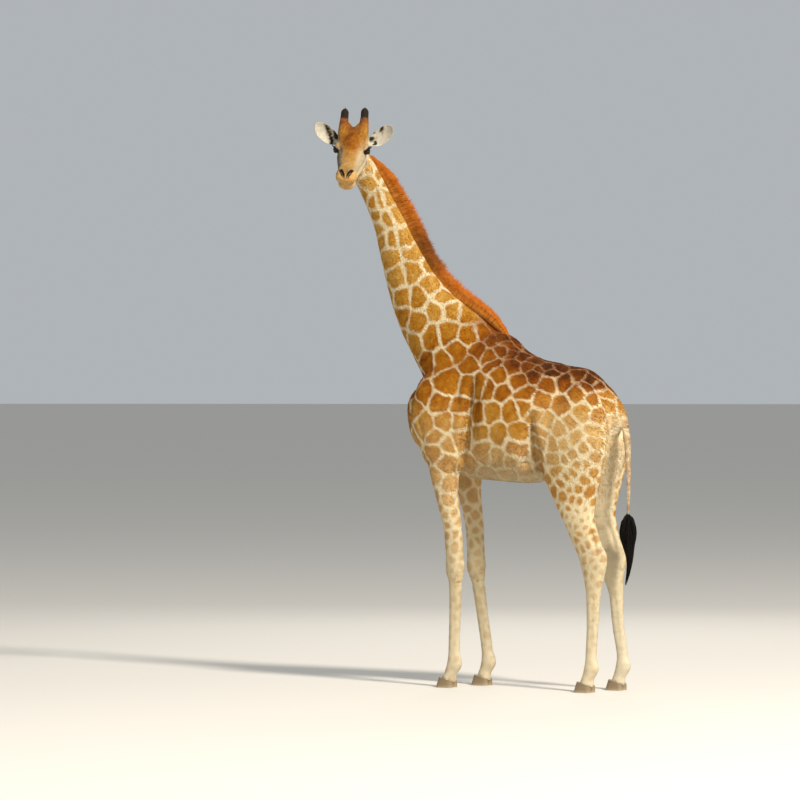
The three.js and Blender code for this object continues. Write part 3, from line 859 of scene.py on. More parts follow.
# %% Centres of the patches
LEFT_CENTRES = {  # on the left side: how far back and how high, in cm
    "neck": "-116,373 -110,379 -127,368 -118,361 -109,362 -104,366 -118,354 -103,351 -98,355 -116,343 "
    "-103,333 -91,339 -106,322 -84,313 -99,307 -94,291 -76,292 -69,301 -62,282 -49,282 -79,274 "
    "-96,278 -58,294 -37,280 -119,386 -116,392 -82,326 -112,333",
    "withers": "-66,263 -50,267 -33,263 -24,265 -14,261 -8,262 -42,253 -25,251 -56,245 -31,242 -13,250 "
    "-4,253 -8,242 2,251 6,242 0,256 10,248 18,241 18,245 -3,234 14,230 23,236",
    "shoulder": "-69,219 -45,230 -32,227 -22,225 -50,212 -49,200 -34,212 -33,198 -65,196 -54,186 -43,181 "
    "-54,173 -46,168 -34,185 -69,240 -76,211",
    "flank": "-11,225 2,222 -8,206 11,208 -1,188 16,190 13,178 -21,205 -19,189 -4,171 -17,176 8,167 21,211",
    "haunch": "22,220 38,228 34,215 49,211 61,221 48,230 57,234 67,230 68,225 73,225 75,215 80,214 77,221 "
    "68,206 80,205 30,202 39,200 59,200 50,195 77,192 65,187 32,192 31,182 44,184 53,184 "
    "77,184 30,240 38,236 41,239 26,239",
    "thigh": "30,173 43,171 53,170 62,173 71,179 71,167 78,171 76,163 46,162 60,160 55,156 69,157 50,152 "
    "64,148 55,148 72,146 50,142 57,139 64,137 68,133 57,127 65,126 63,115 64,105 72,110 75,98 "
    "66,96 31,165 64,166",
}


def spacing(co):
    """How far apart the centres stand, in metres."""
    y, z = co[:, 1], co[:, 2]
    trunk = 0.15 - 0.045 * ramp(y, 0.2, 0.45) - 0.05 * ramp(z, 2.3, 2.5)
    neck = 0.12 - 0.035 * ramp(z, 3.3, 3.9)
    leg = np.where(y > 0, 0.052 + 0.04 * ramp(z, 1.3, 1.85), 0.055 + 0.06 * ramp(z, 1.2, 1.7))
    on_neck = ramp(z - 0.6 * y, 2.75, 3.1)
    whole = trunk + (neck - trunk) * on_neck
    return np.where(z < 1.9, leg + (whole - leg) * ramp(z, 1.5, 1.9), whole)


def patch_centres(co, no):
    left = co[co[:, 0] > 0]
    seeds = []
    for row in LEFT_CENTRES.values():
        for y, z in (map(float, pair.split(",")) for pair in row.split()):
            far = np.hypot(left[:, 1] - y / 100, left[:, 2] - z / 100)
            beside = left[far < max(0.02, far.min() * 1.2)]
            seeds.append(beside[beside[:, 0].argmax()])
    # on the left side chance adds fewer, between those listed
    apart = spacing(co) * (1 + 0.3 * (no[:, 0] > 0.1) * (co[:, 2] > 1.35))
    for i in chance.permutation(len(co))[:26000]:
        if np.min(((co[i] - np.array(seeds)) ** 2).sum(1)) > apart[i] ** 2:
            seeds.append(co[i])
    return np.array(seeds)


skin_co = points_of(skin_mesh)
centres = patch_centres(skin_co, normals_of(skin_mesh))
centre_tree = KDTree(len(centres))
for i, at in enumerate(centres):
    centre_tree.insert(at, i)
centre_tree.balance()
centre_tone = chance.uniform(-1, 1, len(centres))
print(len(centres), "patches")


# %% The line between patches
NEIGHBOURS = 6
CORNER_ROUNDING = (0.004, 0.010)  # over how far corners are rounded, on the trunk and on the legs


def line_width(co, no):
    """Half the width of the pale lines, in metres."""
    y, z = co[:, 1], co[:, 2]
    on_neck = ramp(z - 0.6 * y, 2.75, 3.1)
    body = 0.0105 - 0.005 * ramp(no[:, 2], 0.1, 0.7) * ramp(z, 2.2, 2.4) - 0.002 * ramp(z, 2.1, 2.3)
    whole = body + (0.0135 - body) * on_neck
    legs = ramp(z, 1.9, 1.5) * ramp(z, 0.9, 1.1)
    return (whole - 0.002 * legs) * (1 + 0.5 * cloud(co, 0.07, 4.4))


def nearest_patch(co):
    """The tone of the patch that each point lies in, and how far inside the patch's edge it is."""
    shifts = [cloud(co, 0.085, s) * 0.016 + cloud(co, 0.026, s) * 0.0085 for s in (0.0, 7.3, 15.1)]
    warped = co + np.stack(shifts, 1)
    found = np.array([[index for _, index, _ in centre_tree.find_n(at, NEIGHBOURS + 1)] for at in warped])
    own, others = centres[found[:, :1]], centres[found[:, 1:]]
    nearer = ((warped[:, None] - others) ** 2).sum(2) - ((warped[:, None] - own) ** 2).sum(2)
    edges = nearer / (2 * np.linalg.norm(others - own, axis=2))
    rounding = np.interp(co[:, 2], (1.6, 2.0), CORNER_ROUNDING[::-1])[:, None]
    edge = -rounding[:, 0] * np.log(np.exp(-edges / rounding).sum(1))
    return centre_tone[found[:, 0]], edge


# %% [markdown]
# ## Colour over the whole body
# Each region has its own look: wide cream lines on the neck, dark patches along the back, pale thighs,
# legs that fade to cream. All of it is worked out once per point as a few plain amounts, stored with the
# mesh. Skin and coat read the same amounts, so a tuft always takes the colour of the skin it grows from.

# %% Amounts on the body
def patch_strength(co, no):
    """How strongly the patches show, from 1 on the neck to faintly on the shanks."""
    x, y, z = co.T
    fore = 0.3 + 0.35 * ramp(z, 0.8, 1.25) + 0.2 * ramp(z, 1.4, 1.8) + 0.15 * ramp(z, 1.8, 2.2)
    hind = 0.24 + 0.28 * ramp(z, 0.6, 0.95) + 0.4 * ramp(z, 0.95, 1.25) + 0.08 * ramp(z, 2.0, 2.3)
    hind -= 0.14 * ramp(z, 1.55, 1.75) * ramp(z, 2.1, 1.95)
    barrel = 0.6 + 0.4 * ramp(z, 1.6, 1.95)
    behind = ramp(y, 0.18, 0.32)
    ahead = ramp(y, -0.22, -0.34)
    ink = hind * behind + fore * ahead + barrel * (1 - behind - ahead)
    inner = ramp(-no[:, 0] * np.sign(x), 0.1, 0.6) * ramp(z, 1.95, 1.75) * (y > 0.2)
    rump = ramp(y + 0.04 * cloud(co, 0.07), 0.7, 0.84) * ramp(z, 2.1, 1.9) * ramp(np.abs(x), 0.22, 0.1)
    belly = ramp(-no[:, 2], 0.45, 0.9) * ramp(z, 1.8, 1.7) * ramp(z, 1.4, 1.5)
    throat = ramp(z, 3.78, 3.92)
    pale = np.maximum(inner, rump)
    return ink * (1 - 0.8 * pale) * (1 - 0.5 * belly) * (1 - 0.15 * throat), pale


def body_amounts(co, no):
    x, y, z = co.T
    tone, edge = nearest_patch(co)
    edge -= line_width(co, no)
    ink, pale = patch_strength(co, no)
    top = ramp(no[:, 2], 0.1, 0.8) * ramp(z, 2.1, 2.35) * ramp(z - 0.6 * y, 3.2, 2.9)
    high = ramp(z, 1.8, 2.45) * ramp(z - 0.6 * y, 3.2, 2.7)
    thigh = ramp(y, 0.2, 0.45) * ramp(z, 2.25, 2.0) * ramp(z, 1.5, 1.75)
    hue = 0.28 + 0.42 * top * ramp(y, -0.3, 0.1) + 0.34 * high - 0.12 * thigh + 0.1 * tone
    hue -= 0.1 * ramp(z, 3.1, 3.6)
    hue -= 0.07 * ramp(edge, 0.004, 0.03) * (1 - top)
    tail = ramp(y, 0.86, 0.89) * (z < 2.0)
    side = np.column_stack([np.abs(x), y, z])
    # painted shade: the coat is darkened along the folds behind the shoulder and in front of the thigh,
    # where shade falls in them, and low on the flank the band widens into a painted shadow of the thigh
    shoulder, flank = (distance_to(side, fold)[0] for fold in (SHOULDER_FOLD, FLANK_FOLD))
    fold = np.maximum(ramp(shoulder, 0.045, 0.006), ramp(flank, 0.03 + 0.06 * ramp(z, 1.95, 1.6), 0.01))
    # painted shade under the belly: surfaces that face down, between about 1.45 and 1.75 m high, are
    # darkened
    below = ramp(-no[:, 2], 0.1, 0.8) * ramp(z, 1.75, 1.65) * ramp(z, 1.38, 1.45)
    rust = 0.75 * top + 0.4 * tail * ramp(cloud(co, 0.03), -0.2, 0.3)
    dark_tint_and_shade = 0.5 * tail * ramp(z, 1.45, 1.28) + 0.12 * top
    dark_tint_and_shade += 0.1 * pale * ramp(cloud(co * (1, 1, 4), 0.05), 0, 0.7)
    # the painted shade of the folds and of the belly's underside goes into the dark tint here
    dark_tint_and_shade += 0.45 * fold + 0.3 * below * (1 - fold)
    dark_tint_and_shade += 0.13 * ramp(z, 1.4, 0.9) + 0.06 * ramp(y, 0, -0.3) * ramp(z, 1.7, 1.4)
    white = 0.2 * ramp(z, 0.9, 0.2) + 0.15 * pale
    return {"edge": edge, "ink": ink, "hue": hue, "rust": rust, "dark_tint_and_shade": dark_tint_and_shade, "white": white}


# %% Amounts on the head
# a dusky streak from the eye down to the nostril, partly a marking and partly painted shade on the side of
# the face
EYE_TO_NOSTRIL = [(102, -48, 18), (94, -120, 14), (82, -200, 16), (62, -280, 30)]


def gauss(local, at, reach):
    return np.exp(-1.6 * (((local - np.array(at) * MM) / (np.array(reach) * MM)) ** 2).sum(1))


def on_face(co):
    """1 on the head, 0 on the neck behind its jaw."""
    x, y, z = (to_head(co) / MM).T
    share = ramp(z, -122, -104) * ramp(y - 0.75 * (z + 60), 168, 148)
    share *= 1 - ramp(np.abs(x), 107, 117) * ramp(z, -15, -50)  # the side of the neck, below the ear
    # the back of the skull
    share = np.maximum(share, ramp(z, -60, -30) * ramp(y, 60, 90) * (np.abs(x) < 112))
    return np.maximum(share, ramp(z, 60, 90)) * ramp((co - SEAM) @ SEAM_UP, 0.0, 0.03)


def head_amounts(co, no, amounts):
    """Overwrites the amounts where points belong to the head."""
    local = to_head(co)
    side = np.column_stack([np.abs(local[:, 0]), local[:, 1:]])
    x, y, z = (side / MM).T
    grain = cloud(co, 0.012)
    faces = -(no @ HEAD[:3, 1])  # 1 where the surface faces the way that the head does
    on_head = on_face(co)
    forehead = gauss(side, (0, 0, 112), (84, 140, 90)) * (1 + 0.3 * cloud(co, 0.03))
    nose = ramp(x + 8 * grain, 78, 30) * ramp(z, -30, 25)
    horn = ramp(z - 0.35 * y, 44, 92) * ramp(y, -20, 50)
    lips = ramp(y + 6 * grain, -262, -330)
    orbit = ramp(np.linalg.norm((side - np.array(EYE) * MM) * (1, 1, 1.5), axis=1), 0.05, 0.036)
    brow = gauss(side, (78, 20, 84), (52, 84, 52))
    ear = ramp(x, 106, 128) * ramp(y, 70, 100)
    inner_ear = ear * ramp(faces, -0.1, 0.25)
    band_across = x - 0.48 * z - 155 + 14 * grain
    band = gauss(np.column_stack([band_across] * 3) * MM, (0, 0, 0), (24, 1e6, 1e6))
    # the band across the open ear is a marking; the dark inside the ear's root is painted shade of its
    # hollow
    band = np.maximum(band * ramp(x, 240, 205), ramp(x, 172, 142) * ramp(z, 25, 60))
    # a band on the right ear, broken into blotches on the left one
    band *= np.where(local[:, 0] > 0, ramp(cloud(co, 0.03), -0.5, 0.1), 1)
    nostril, _ = distance_to(side, NOSTRIL)
    mouth, _ = distance_to(side, MOUTH)
    # the streak is partly a marking and partly painted shade
    streak, _ = distance_to(side, EYE_TO_NOSTRIL)
    # painted shade: the side plane of the face, from below the eye to the muzzle
    painted_shade_side_plane = ramp(x + 10 * grain, 46, 66) * ramp(y, 0, -60) * ramp(z, -60, -20) * ramp(y, -340, -290)
    up_horn = y + z + 8 * grain - 2 * np.where(local[:, 0] > 0, HORN_RISE[1], HORN_RISE[-1])
    # painted shade under the jaw, towards the chin
    under = ramp(z, -60, -95) * ramp(y, -330, -200)
    crown = ramp(y, 30, 90) * ramp(x + 12 * grain, 96, 60) * (1 - horn)
    ink = np.maximum.reduce([0.8 * nose, 0.95 * horn, 0.75 * lips, 0.7 * brow, 0.6 * crown])
    ink *= 1 - ear
    hue = 0.2 + 0.14 * horn + 0.1 * grain + 0.4 * forehead + 0.36 * horn * ramp(up_horn, -300, -120)
    rust = 1.2 * forehead + 0.25 * nose + 0.3 * np.maximum(brow, crown) + 0.1
    dark_tint_and_shade = 0.32 + 0.1 * grain + 0.9 * orbit
    dark_tint_and_shade += 0.95 * ramp(nostril, 0.02, 0.01) * ramp(z, 20, 42) + 0.5 * ramp(mouth, 0.009, 0.003)
    # painted shade under the jaw; the streak from eye to nostril is partly a marking and partly painted
    # shade
    dark_tint_and_shade += 0.3 * under + ramp(streak, 0.05, 0.01) * 0.14 - 0.28 * lips
    # painted shade on the head's right side plane only, and a dark mark on top of the muzzle
    dark_tint_and_shade += 0.36 * painted_shade_side_plane * (local[:, 0] < 0) + 0.45 * gauss(side, (0, -318, 60), (46, 46, 34))
    # the ear's dark band, with painted shade inside the ear's root
    dark_tint_and_shade += 0.9 * inner_ear * band + 0.3 * gauss(side, (0, 130, 125), (40, 44, 44))
    dark_tint_and_shade += 0.97 * horn * ramp(up_horn + 12 * cloud(co, 0.02), -126, -78)
    white = 0.75 * ear * (1 - band) + 0.25 * ramp(z, 40, -10) * ramp(y, -40, 40)
    face = {"rust": rust * (1 - ear), "dark_tint_and_shade": dark_tint_and_shade, "white": white, "ink": ink, "hue": hue}
    face["edge"] = np.ones(len(x))
    return {name: amounts[name] + (np.clip(face[name], 0, 1) - amounts[name]) * on_head for name in amounts}


def markings(co, no):
    return head_amounts(co, no, body_amounts(co, no))


def store(mesh, amounts):
    """Keeps one value for each point under each name, for the materials to read."""
    for name, values in amounts.items():
        layer = mesh.attributes.new(name, "FLOAT", "POINT")
        layer.data.foreach_set("value", values.astype(np.float32))


skin_amounts = markings(skin_co, normals_of(skin_mesh))
store(skin_mesh, skin_amounts)
print("amounts:", ", ".join(skin_amounts))

# %% [markdown]
# ## Hair colours
# One material colours skin and coat alike. It starts from cream, turned towards white or rust, and lays a
# patch over it wherever the point is far enough inside an edge. A dark tint darkens both, each by its own
# amount; it holds dark hair and also painted shade in the folds, under the belly and jaw, and on the face's
# right side. Noise breaks up the patches' edges the way hairs of two colours mingle, and gives the surface
# its fine grain and bump.

# %% Building a material from nodes
def srgb(red, green, blue):
    return tuple(((c / 255 + 0.055) / 1.055) ** 2.4 if c > 10 else c / 3295 for c in (red, green, blue))


class Nodes:
    """Short ways to add nodes to a material."""

    def __init__(self, name):
        self.material = bpy.data.materials.new(name)
        self.material.use_nodes = True
        self.tree = self.material.node_tree
        self.shader = self.tree.nodes["Principled BSDF"]

    def add(self, kind, **inputs):
        node = self.tree.nodes.new(kind)
        for name, value in inputs.items():
            self.put(node.inputs[name.replace("_", " ")], value)
        return node

    def put(self, socket, value):
        if isinstance(value, bpy.types.NodeSocket):
            self.tree.links.new(value, socket)
        else:
            socket.default_value = (*value, 1) if isinstance(value, tuple) and len(value) == 3 else value

    def amount(self, name):
        node = self.add("ShaderNodeAttribute")
        node.attribute_name = name
        return node.outputs["Fac"]

    def noise(self, scale, detail=3.0, roughness=0.6):
        where = self.add("ShaderNodeTexCoord").outputs["Object"]
        node = self.add("ShaderNodeTexNoise", Vector=where, Scale=scale, Detail=detail, Roughness=roughness)
        return node.outputs["Fac"]

    def maths(self, operation, a, b):
        node = self.add("ShaderNodeMath")
        node.operation = operation
        self.put(node.inputs[0], a)
        self.put(node.inputs[1], b)
        return node.outputs[0]

    def between(self, value, low, high, to_low=0.0, to_high=1.0):
        node = self.add("ShaderNodeMapRange", Value=value, From_Min=low, From_Max=high)
        self.put(node.inputs["To Min"], to_low)
        self.put(node.inputs["To Max"], to_high)
        return node.outputs["Result"]

    def mix(self, amount, a, b, how="MIX"):
        node = self.tree.nodes.new("ShaderNodeMix")
        node.data_type = "RGBA"
        node.blend_type = how
        self.put(node.inputs["Factor"], amount)
        self.put(node.inputs["A"], a)
        self.put(node.inputs["B"], b)
        return node.outputs["Result"]

    def ramp(self, value, stops):
        node = self.add("ShaderNodeValToRGB", Fac=value)
        while len(node.color_ramp.elements) < len(stops):
            node.color_ramp.elements.new(0.5)
        for element, (place, colour) in zip(node.color_ramp.elements, stops):
            element.position = place
            element.color = (*colour, 1)
        return node.outputs["Color"]

    def shaded(self, colour, shade):
        """The colour made darker wherever the shade falls below 1."""
        grey = self.ramp(shade, [(0.0, (0, 0, 0)), (1.0, (1, 1, 1))])
        return self.mix(1.0, colour, grey, "MULTIPLY")

    def bump(self, height, distance, strength=1.0):
        node = self.add("ShaderNodeBump", Height=height, Distance=distance, Strength=strength)
        self.tree.links.new(node.outputs["Normal"], self.shader.inputs["Normal"])


# %% The coat's material
CREAM = srgb(233, 215, 174)
WHITE = srgb(238, 232, 218)
PATCH = [
    (0.0, srgb(206, 160, 82)),
    (0.25, srgb(190, 134, 44)),
    (0.45, srgb(172, 106, 12)),
    (0.7, srgb(140, 72, 0)),
    (1.0, srgb(84, 38, 0)),
]
RUST = srgb(158, 86, 10)
# the dark tint: it colours dark hair, and also lays painted shade in folds, under the belly and jaw and on
# the face's right side
DARK_TINT_AND_SHADE = srgb(40, 32, 26)


def coat_material(name, grain, depth):
    n = Nodes(name)
    fine, broad = n.noise(grain, 4), n.noise(14.0, 2)
    ragged = n.maths("MULTIPLY", n.maths("SUBTRACT", n.noise(130.0, 3), 0.5), 0.014)
    patch = n.between(n.maths("ADD", n.amount("edge"), ragged), -0.007, 0.007)
    ground = n.mix(n.amount("white"), CREAM, WHITE)
    deeper = n.maths("ADD", n.amount("hue"), n.between(broad, 0.3, 0.7, -0.14, 0.14))
    ground = n.mix(n.amount("rust"), ground, RUST)
    colour = n.mix(n.maths("MULTIPLY", patch, n.amount("ink")), ground, n.ramp(deeper, PATCH))
    # darkening by the dark tint, which holds real dark hair and painted shade alike
    colour = n.mix(n.amount("dark_tint_and_shade"), colour, DARK_TINT_AND_SHADE)
    shade = n.between(n.maths("ADD", fine, n.maths("MULTIPLY", n.amount("tint"), 0.16)), 0.2, 0.8, 0.8, 1.15)
    n.put(n.shader.inputs["Base Color"], n.shaded(colour, shade))
    n.put(n.shader.inputs["Roughness"], n.between(fine, 0.2, 0.8, 0.62, 0.86))
    n.shader.inputs["Sheen Weight"].default_value = 0.03
    n.shader.inputs["Sheen Tint"].default_value = (1.0, 0.8, 0.5, 1)
    n.shader.inputs["Specular IOR Level"].default_value = 0.1
    n.bump(fine, depth)
    return n.material


skin_material = coat_material("short_coat_skin", 420.0, 0.004)

# %% The skin piece
skin = add_object("skin", skin_mesh)


def place(piece, slot, *nodes):
    """Puts a piece told from the middle of the trunk into the frame, and names its body. Its finish, slot,
    is not used.
    """
    piece.location = Vector(middle)
    piece.data.polygons.foreach_set("use_smooth", np.ones(len(piece.data.polygons), bool))
    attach(piece, "root")
    if nodes:
        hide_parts(*nodes)


skin_mesh.materials.append(skin_material)
FLESH = ["trunk", "neck", "tail", "head", "lower_jaw"]
FLESH += ["ear_left", "ear_right", "ossicone_left", "ossicone_right"]
FLESH += [f"fore_{side}_{part}" for side in ("left", "right") for part in ("shoulder", "forearm", "cannon")]
FLESH += [f"hind_{side}_{part}" for side in ("left", "right") for part in ("haunch", "gaskin", "cannon")]
place(skin, "coat", *FLESH)
print("skin stands for", len(FLESH), "solids")

# %% [markdown]
# ## Hooves
# Each foot stands on two claws of horn. They are lofted like the limbs, then sliced flat: once where the
# horn meets the hair, and once by the ground. The horn grows down from the coronet, so its rings run
# round the claw, and it is darker at the top and scuffed pale at the edge.

# %% Claws
CORONET_HEIGHT = 64
claw_work = bmesh.new()


def sliced(points, faces, planes):
    """A form cut flat at each plane and closed again."""
    work = bmesh.new()
    verts = [work.verts.new(p) for p in points]
    for face in faces:
        work.faces.new([verts[i] for i in face])
    for at, normal in planes:
        everything = work.verts[:] + work.edges[:] + work.faces[:]
        made = bmesh.ops.bisect_plane(work, geom=everything, plane_co=at, plane_no=normal, clear_outer=True)
        rim = [e for e in made["geom_cut"] if isinstance(e, bmesh.types.BMEdge)]
        bmesh.ops.contextual_create(work, geom=rim)
    return work


for way, _, _, hoof in STANCE.values():
    for half in (1, -1):
        x = way * TRACK + half * 33
        sections = [
            (x, hoof + 2, 110, 27, 51, 43, 2.5),
            (x, hoof - 4, 45, 30.5, 59, 61, 2.5),
            (x + half * 2, hoof - 6, -20, 32.5, 63, 81, 2.5),
        ]
        points, faces = loft(sections, 34, 40)
        planes = [((0, 0, 0.0004), (0, 0, -1))]
        planes.append((Vector((way * TRACK, hoof, CORONET_HEIGHT)) * MM, Vector((0, 0.3, 1)).normalized()))
        one = sliced(points, faces, planes)
        made = bpy.data.meshes.new("claw")
        one.to_mesh(made)
        claw_work.from_mesh(made)
        one.free()
hoof_mesh = bpy.data.meshes.new("hooves")
claw_work.to_mesh(hoof_mesh)
claw_work.free()
hooves = add_object("hooves", hoof_mesh)

n = Nodes("hoof_horn")
height = n.add("ShaderNodeSeparateXYZ", Vector=n.add("ShaderNodeTexCoord").outputs["Object"]).outputs["Z"]
wobble = n.maths("ADD", n.maths("MULTIPLY", height, 900.0), n.maths("MULTIPLY", n.noise(30.0), 3.0))
rings = n.maths("SINE", wobble, 0.0)
HORN = [(0.0, srgb(176, 158, 128)), (0.25, srgb(138, 118, 90)), (1.0, srgb(112, 94, 70))]  # edge to coronet
horn = n.ramp(n.between(height, 0.0, 0.08), HORN)
horn = n.mix(n.between(n.noise(160.0, 4), 0.35, 0.75, 0.0, 0.5), horn, srgb(176, 156, 122))
n.put(n.shader.inputs["Base Color"], horn)
n.put(n.shader.inputs["Roughness"], n.between(n.noise(90.0), 0.3, 0.7, 0.42, 0.7))
n.bump(n.maths("ADD", rings, n.noise(300.0, 3)), 0.0008)
hoof_mesh.materials.append(n.material)
claws = [f"{name}_claw_{side}" for name in STANCE for side in ("outer", "inner")]
place(hooves, "hoof_horn", *claws)
hoof_mesh.polygons.foreach_set("use_smooth", [len(face.vertices) < 5 for face in hoof_mesh.polygons])
print("claws:", len(claws))

# %% [markdown]
# ## Eyes
# A giraffe's eye is large and almost black, with a long level pupil in a dark brown iris. The ball is
# real geometry behind real lids, and its colours are stored on its points by how far they lie from
# where the eye looks. A clear coat on the shader stands in for the wet cornea.

# %% Eyeballs
balls, irises, pupils = [], [], []
for way in (1, -1):
    ball = bmesh.new()
    bmesh.ops.create_icosphere(ball, subdivisions=6, radius=EYE_RADIUS * MM)
    co = np.array([v.co[:] for v in ball.verts])
    looks, along, across = eye_axes(way)
    co *= 1 + 0.05 * ramp(unit(co) @ looks, 0.78, 1.0)[:, None]
    iris = np.hypot(co @ along, co @ across) / MM
    irises.append(ramp(iris, 17.5, 15.5))
    pupils.append(ramp(np.hypot(co @ along / 9.5, co @ across / 5.5) / MM, 1.08, 0.92) * (co @ looks > 0))
    faces = [tuple(v.index for v in f.verts) for f in ball.faces]
    balls.append((from_head(co + np.array(EYE) * (way, 1, 1) * MM), faces))
    ball.free()
eyes = mesh_object("eyes", *gathered(balls))
store(eyes.data, {"iris": np.concatenate(irises), "pupil": np.concatenate(pupils)})

n = Nodes("dark_eye")
streaks = n.mix(n.between(n.noise(500.0, 4), 0.3, 0.7), srgb(20, 12, 8), srgb(46, 28, 14))
colour = n.mix(n.amount("iris"), srgb(18, 14, 12), streaks)
n.put(n.shader.inputs["Base Color"], n.mix(n.amount("pupil"), colour, srgb(5, 5, 7)))
n.put(n.shader.inputs["Roughness"], n.between(n.noise(60.0), 0.0, 1.0, 0.06, 0.12))
n.shader.inputs["Coat Weight"].default_value = 0.35
n.shader.inputs["Coat Roughness"].default_value = 0.03
n.shader.inputs["Specular IOR Level"].default_value = 0.25
n.bump(n.noise(40.0), 0.0002)
eyes.data.materials.append(n.material)
place(eyes, "eye", "eye_left", "eye_right")
print("eyes:", len(eyes.data.vertices), "points")

# %% [markdown]
# ## Hair
# Hair on an animal hangs together in pointed tufts. One tuft here is a flat closed spike: three sides,
# a base under the skin, and a tip. Short hair takes one length of four faces. Long hair takes more
# lengths, so that it can bend. Each piece of hair is one mesh of thousands of tufts, filled in by numpy,
# which is much quicker than adding faces one by one, and much lighter than real strands.

# %% Making tufts
HAIR_UV_SPAN = 0.0015  # half the width of a tuft's patch on the bake map
HAIR_UV_EDGE = 0.006


def spikes(name, paths, wide, thick, sides, unwrap, amounts):
    """One mesh of closed spikes. paths holds each spike's centre line, sides the direction across it,
    wide and thick half its width and its thickness at the root, unwrap its root's place on the map."""
    paths = np.asarray(paths, float)
    count, rings = paths.shape[0], paths.shape[1] - 1
    along = unit(paths[:, 1:] - paths[:, :-1])
    side = unit(sides[:, None] - along * (along * sides[:, None]).sum(2, keepdims=True))
    up = np.cross(side, along)
    shrink = (1 - (np.arange(rings) / rings) ** 1.6)[None, :, None]
    wide, thick = np.reshape(wide, (-1, 1, 1)) * shrink, np.reshape(thick, (-1, 1, 1)) * shrink
    root = paths[:, :-1]
    ring = np.stack([root - side * wide, root + side * wide, root + up * thick], 2)
    co = np.concatenate([ring.reshape(count, rings * 3, 3), paths[:, -1:]], 1)
    faces = [(0, 2, 1)]
    for r in range(rings - 1):
        for k in range(3):
            a, b = r * 3 + k, r * 3 + (k + 1) % 3
            faces += [(a, b, b + 3), (a, b + 3, a + 3)]
    last, tip = (rings - 1) * 3, rings * 3
    faces += [(last + k, last + (k + 1) % 3, tip) for k in range(3)]
    corners = (np.array(faces)[None] + (np.arange(count) * (tip + 1))[:, None, None]).reshape(-1)
    made = bpy.data.meshes.new(name)
    made.vertices.add(count * (tip + 1))
    made.vertices.foreach_set("co", co.reshape(-1).astype(np.float32))
    made.loops.add(len(corners))
    made.loops.foreach_set("vertex_index", corners.astype(np.int32))
    made.polygons.add(len(corners) // 3)
    made.polygons.foreach_set("loop_start", np.arange(0, len(corners), 3, dtype=np.int32))
    made.update(calc_edges=True)
    share = np.arange(rings) / rings
    patch = []
    for k in share:
        patch += [(k - 1, 1.6 * k - 0.8), (1 - k, 1.6 * k - 0.8), (0, 1.6 * k - 0.3)]
    patch = np.array(patch + [(0, 1)]) * HAIR_UV_SPAN
    spans = HAIR_UV_EDGE + unwrap * (1 - 2 * HAIR_UV_EDGE)
    uv = (spans[:, None] + patch[None]).reshape(-1, 2)[corners]
    made.uv_layers.new(name="OFBake").data.foreach_set("uv", uv.reshape(-1).astype(np.float32))
    store(made, {key: np.repeat(values, tip + 1) for key, values in amounts.items()})
    store(made, {"rise": np.tile(np.append(np.repeat(share, 3), 1.0), count)})
    return add_object(name, made)


def round_form(angle, height, strip=0, strips=1):
    """A place on the map from the angle round a form and a height along it, each from 0 to 1. Several
    forms lie side by side in strips."""
    height = (height - height.min()) / max(np.ptp(height), 1e-6)
    return np.column_stack([(strip + 0.02 + 0.96 * angle) / strips, height])


def full_turn(a, b):
    return np.arctan2(a, b) / (2 * math.pi) + 0.5


# %% [markdown]
# ## The coat
# The coat is short and lies flat, so most of it is the skin's own grain. Over it lie fine tufts, which
# break the outline and catch the light. They are sown by area, lean along the lie of the hair, which runs
# back from the nose, down the neck and legs and back along the flanks, and carry the skin's markings.

# %% The lie of the hair
def lie_of_hair(co, no, facial):
    y, z = co[:, 1], co[:, 2]
    on_neck = ramp(z - 0.6 * y, 2.7, 3.05)[:, None]
    on_leg = ramp(z, 2.0, 1.45)[:, None]
    flow = np.array([0, 0.9, -0.45]) * (1 - on_leg) + np.array([0, 0.08, -1.0]) * on_leg
    flow = flow * (1 - on_neck) + np.array([-0.05, 0.35, -0.93]) * on_neck
    local = to_head(co)
    down = ramp(local[:, 1], 0.03, 0.1)[:, None]  # behind the horns the hair turns down to the nape
    back = (np.array([0, 1, 0.25]) * (1 - down) + np.array([0, 0.15, -1]) * down) @ HEAD[:3, :3].T
    outward = (HEAD[:3, :3] @ np.array([1, 0.1, 0.25]))[None] * np.sign(local[:, :1])
    upward = HEAD[:3, :3] @ np.array([0, 0.7, 0.7])
    ear = (ramp(np.abs(local[:, 0]), 0.1, 0.12) * ramp(local[:, 1], 0.07, 0.1))[:, None]
    horn = (ramp(local[:, 2] - 0.35 * local[:, 1], 0.06, 0.09) * ramp(local[:, 1], 0.0, 0.05))[:, None]
    face = back * (1 - horn) + upward * horn
    face = face * (1 - ear) + outward * ear
    flow = flow + (face - flow) * facial[:, None]
    flow = flow + 0.3 * np.stack([cloud(co, 0.12, s) for s in (3.0, 9.0, 21.0)], 1)
    return unit(flow - no * (flow * no).sum(1, keepdims=True))


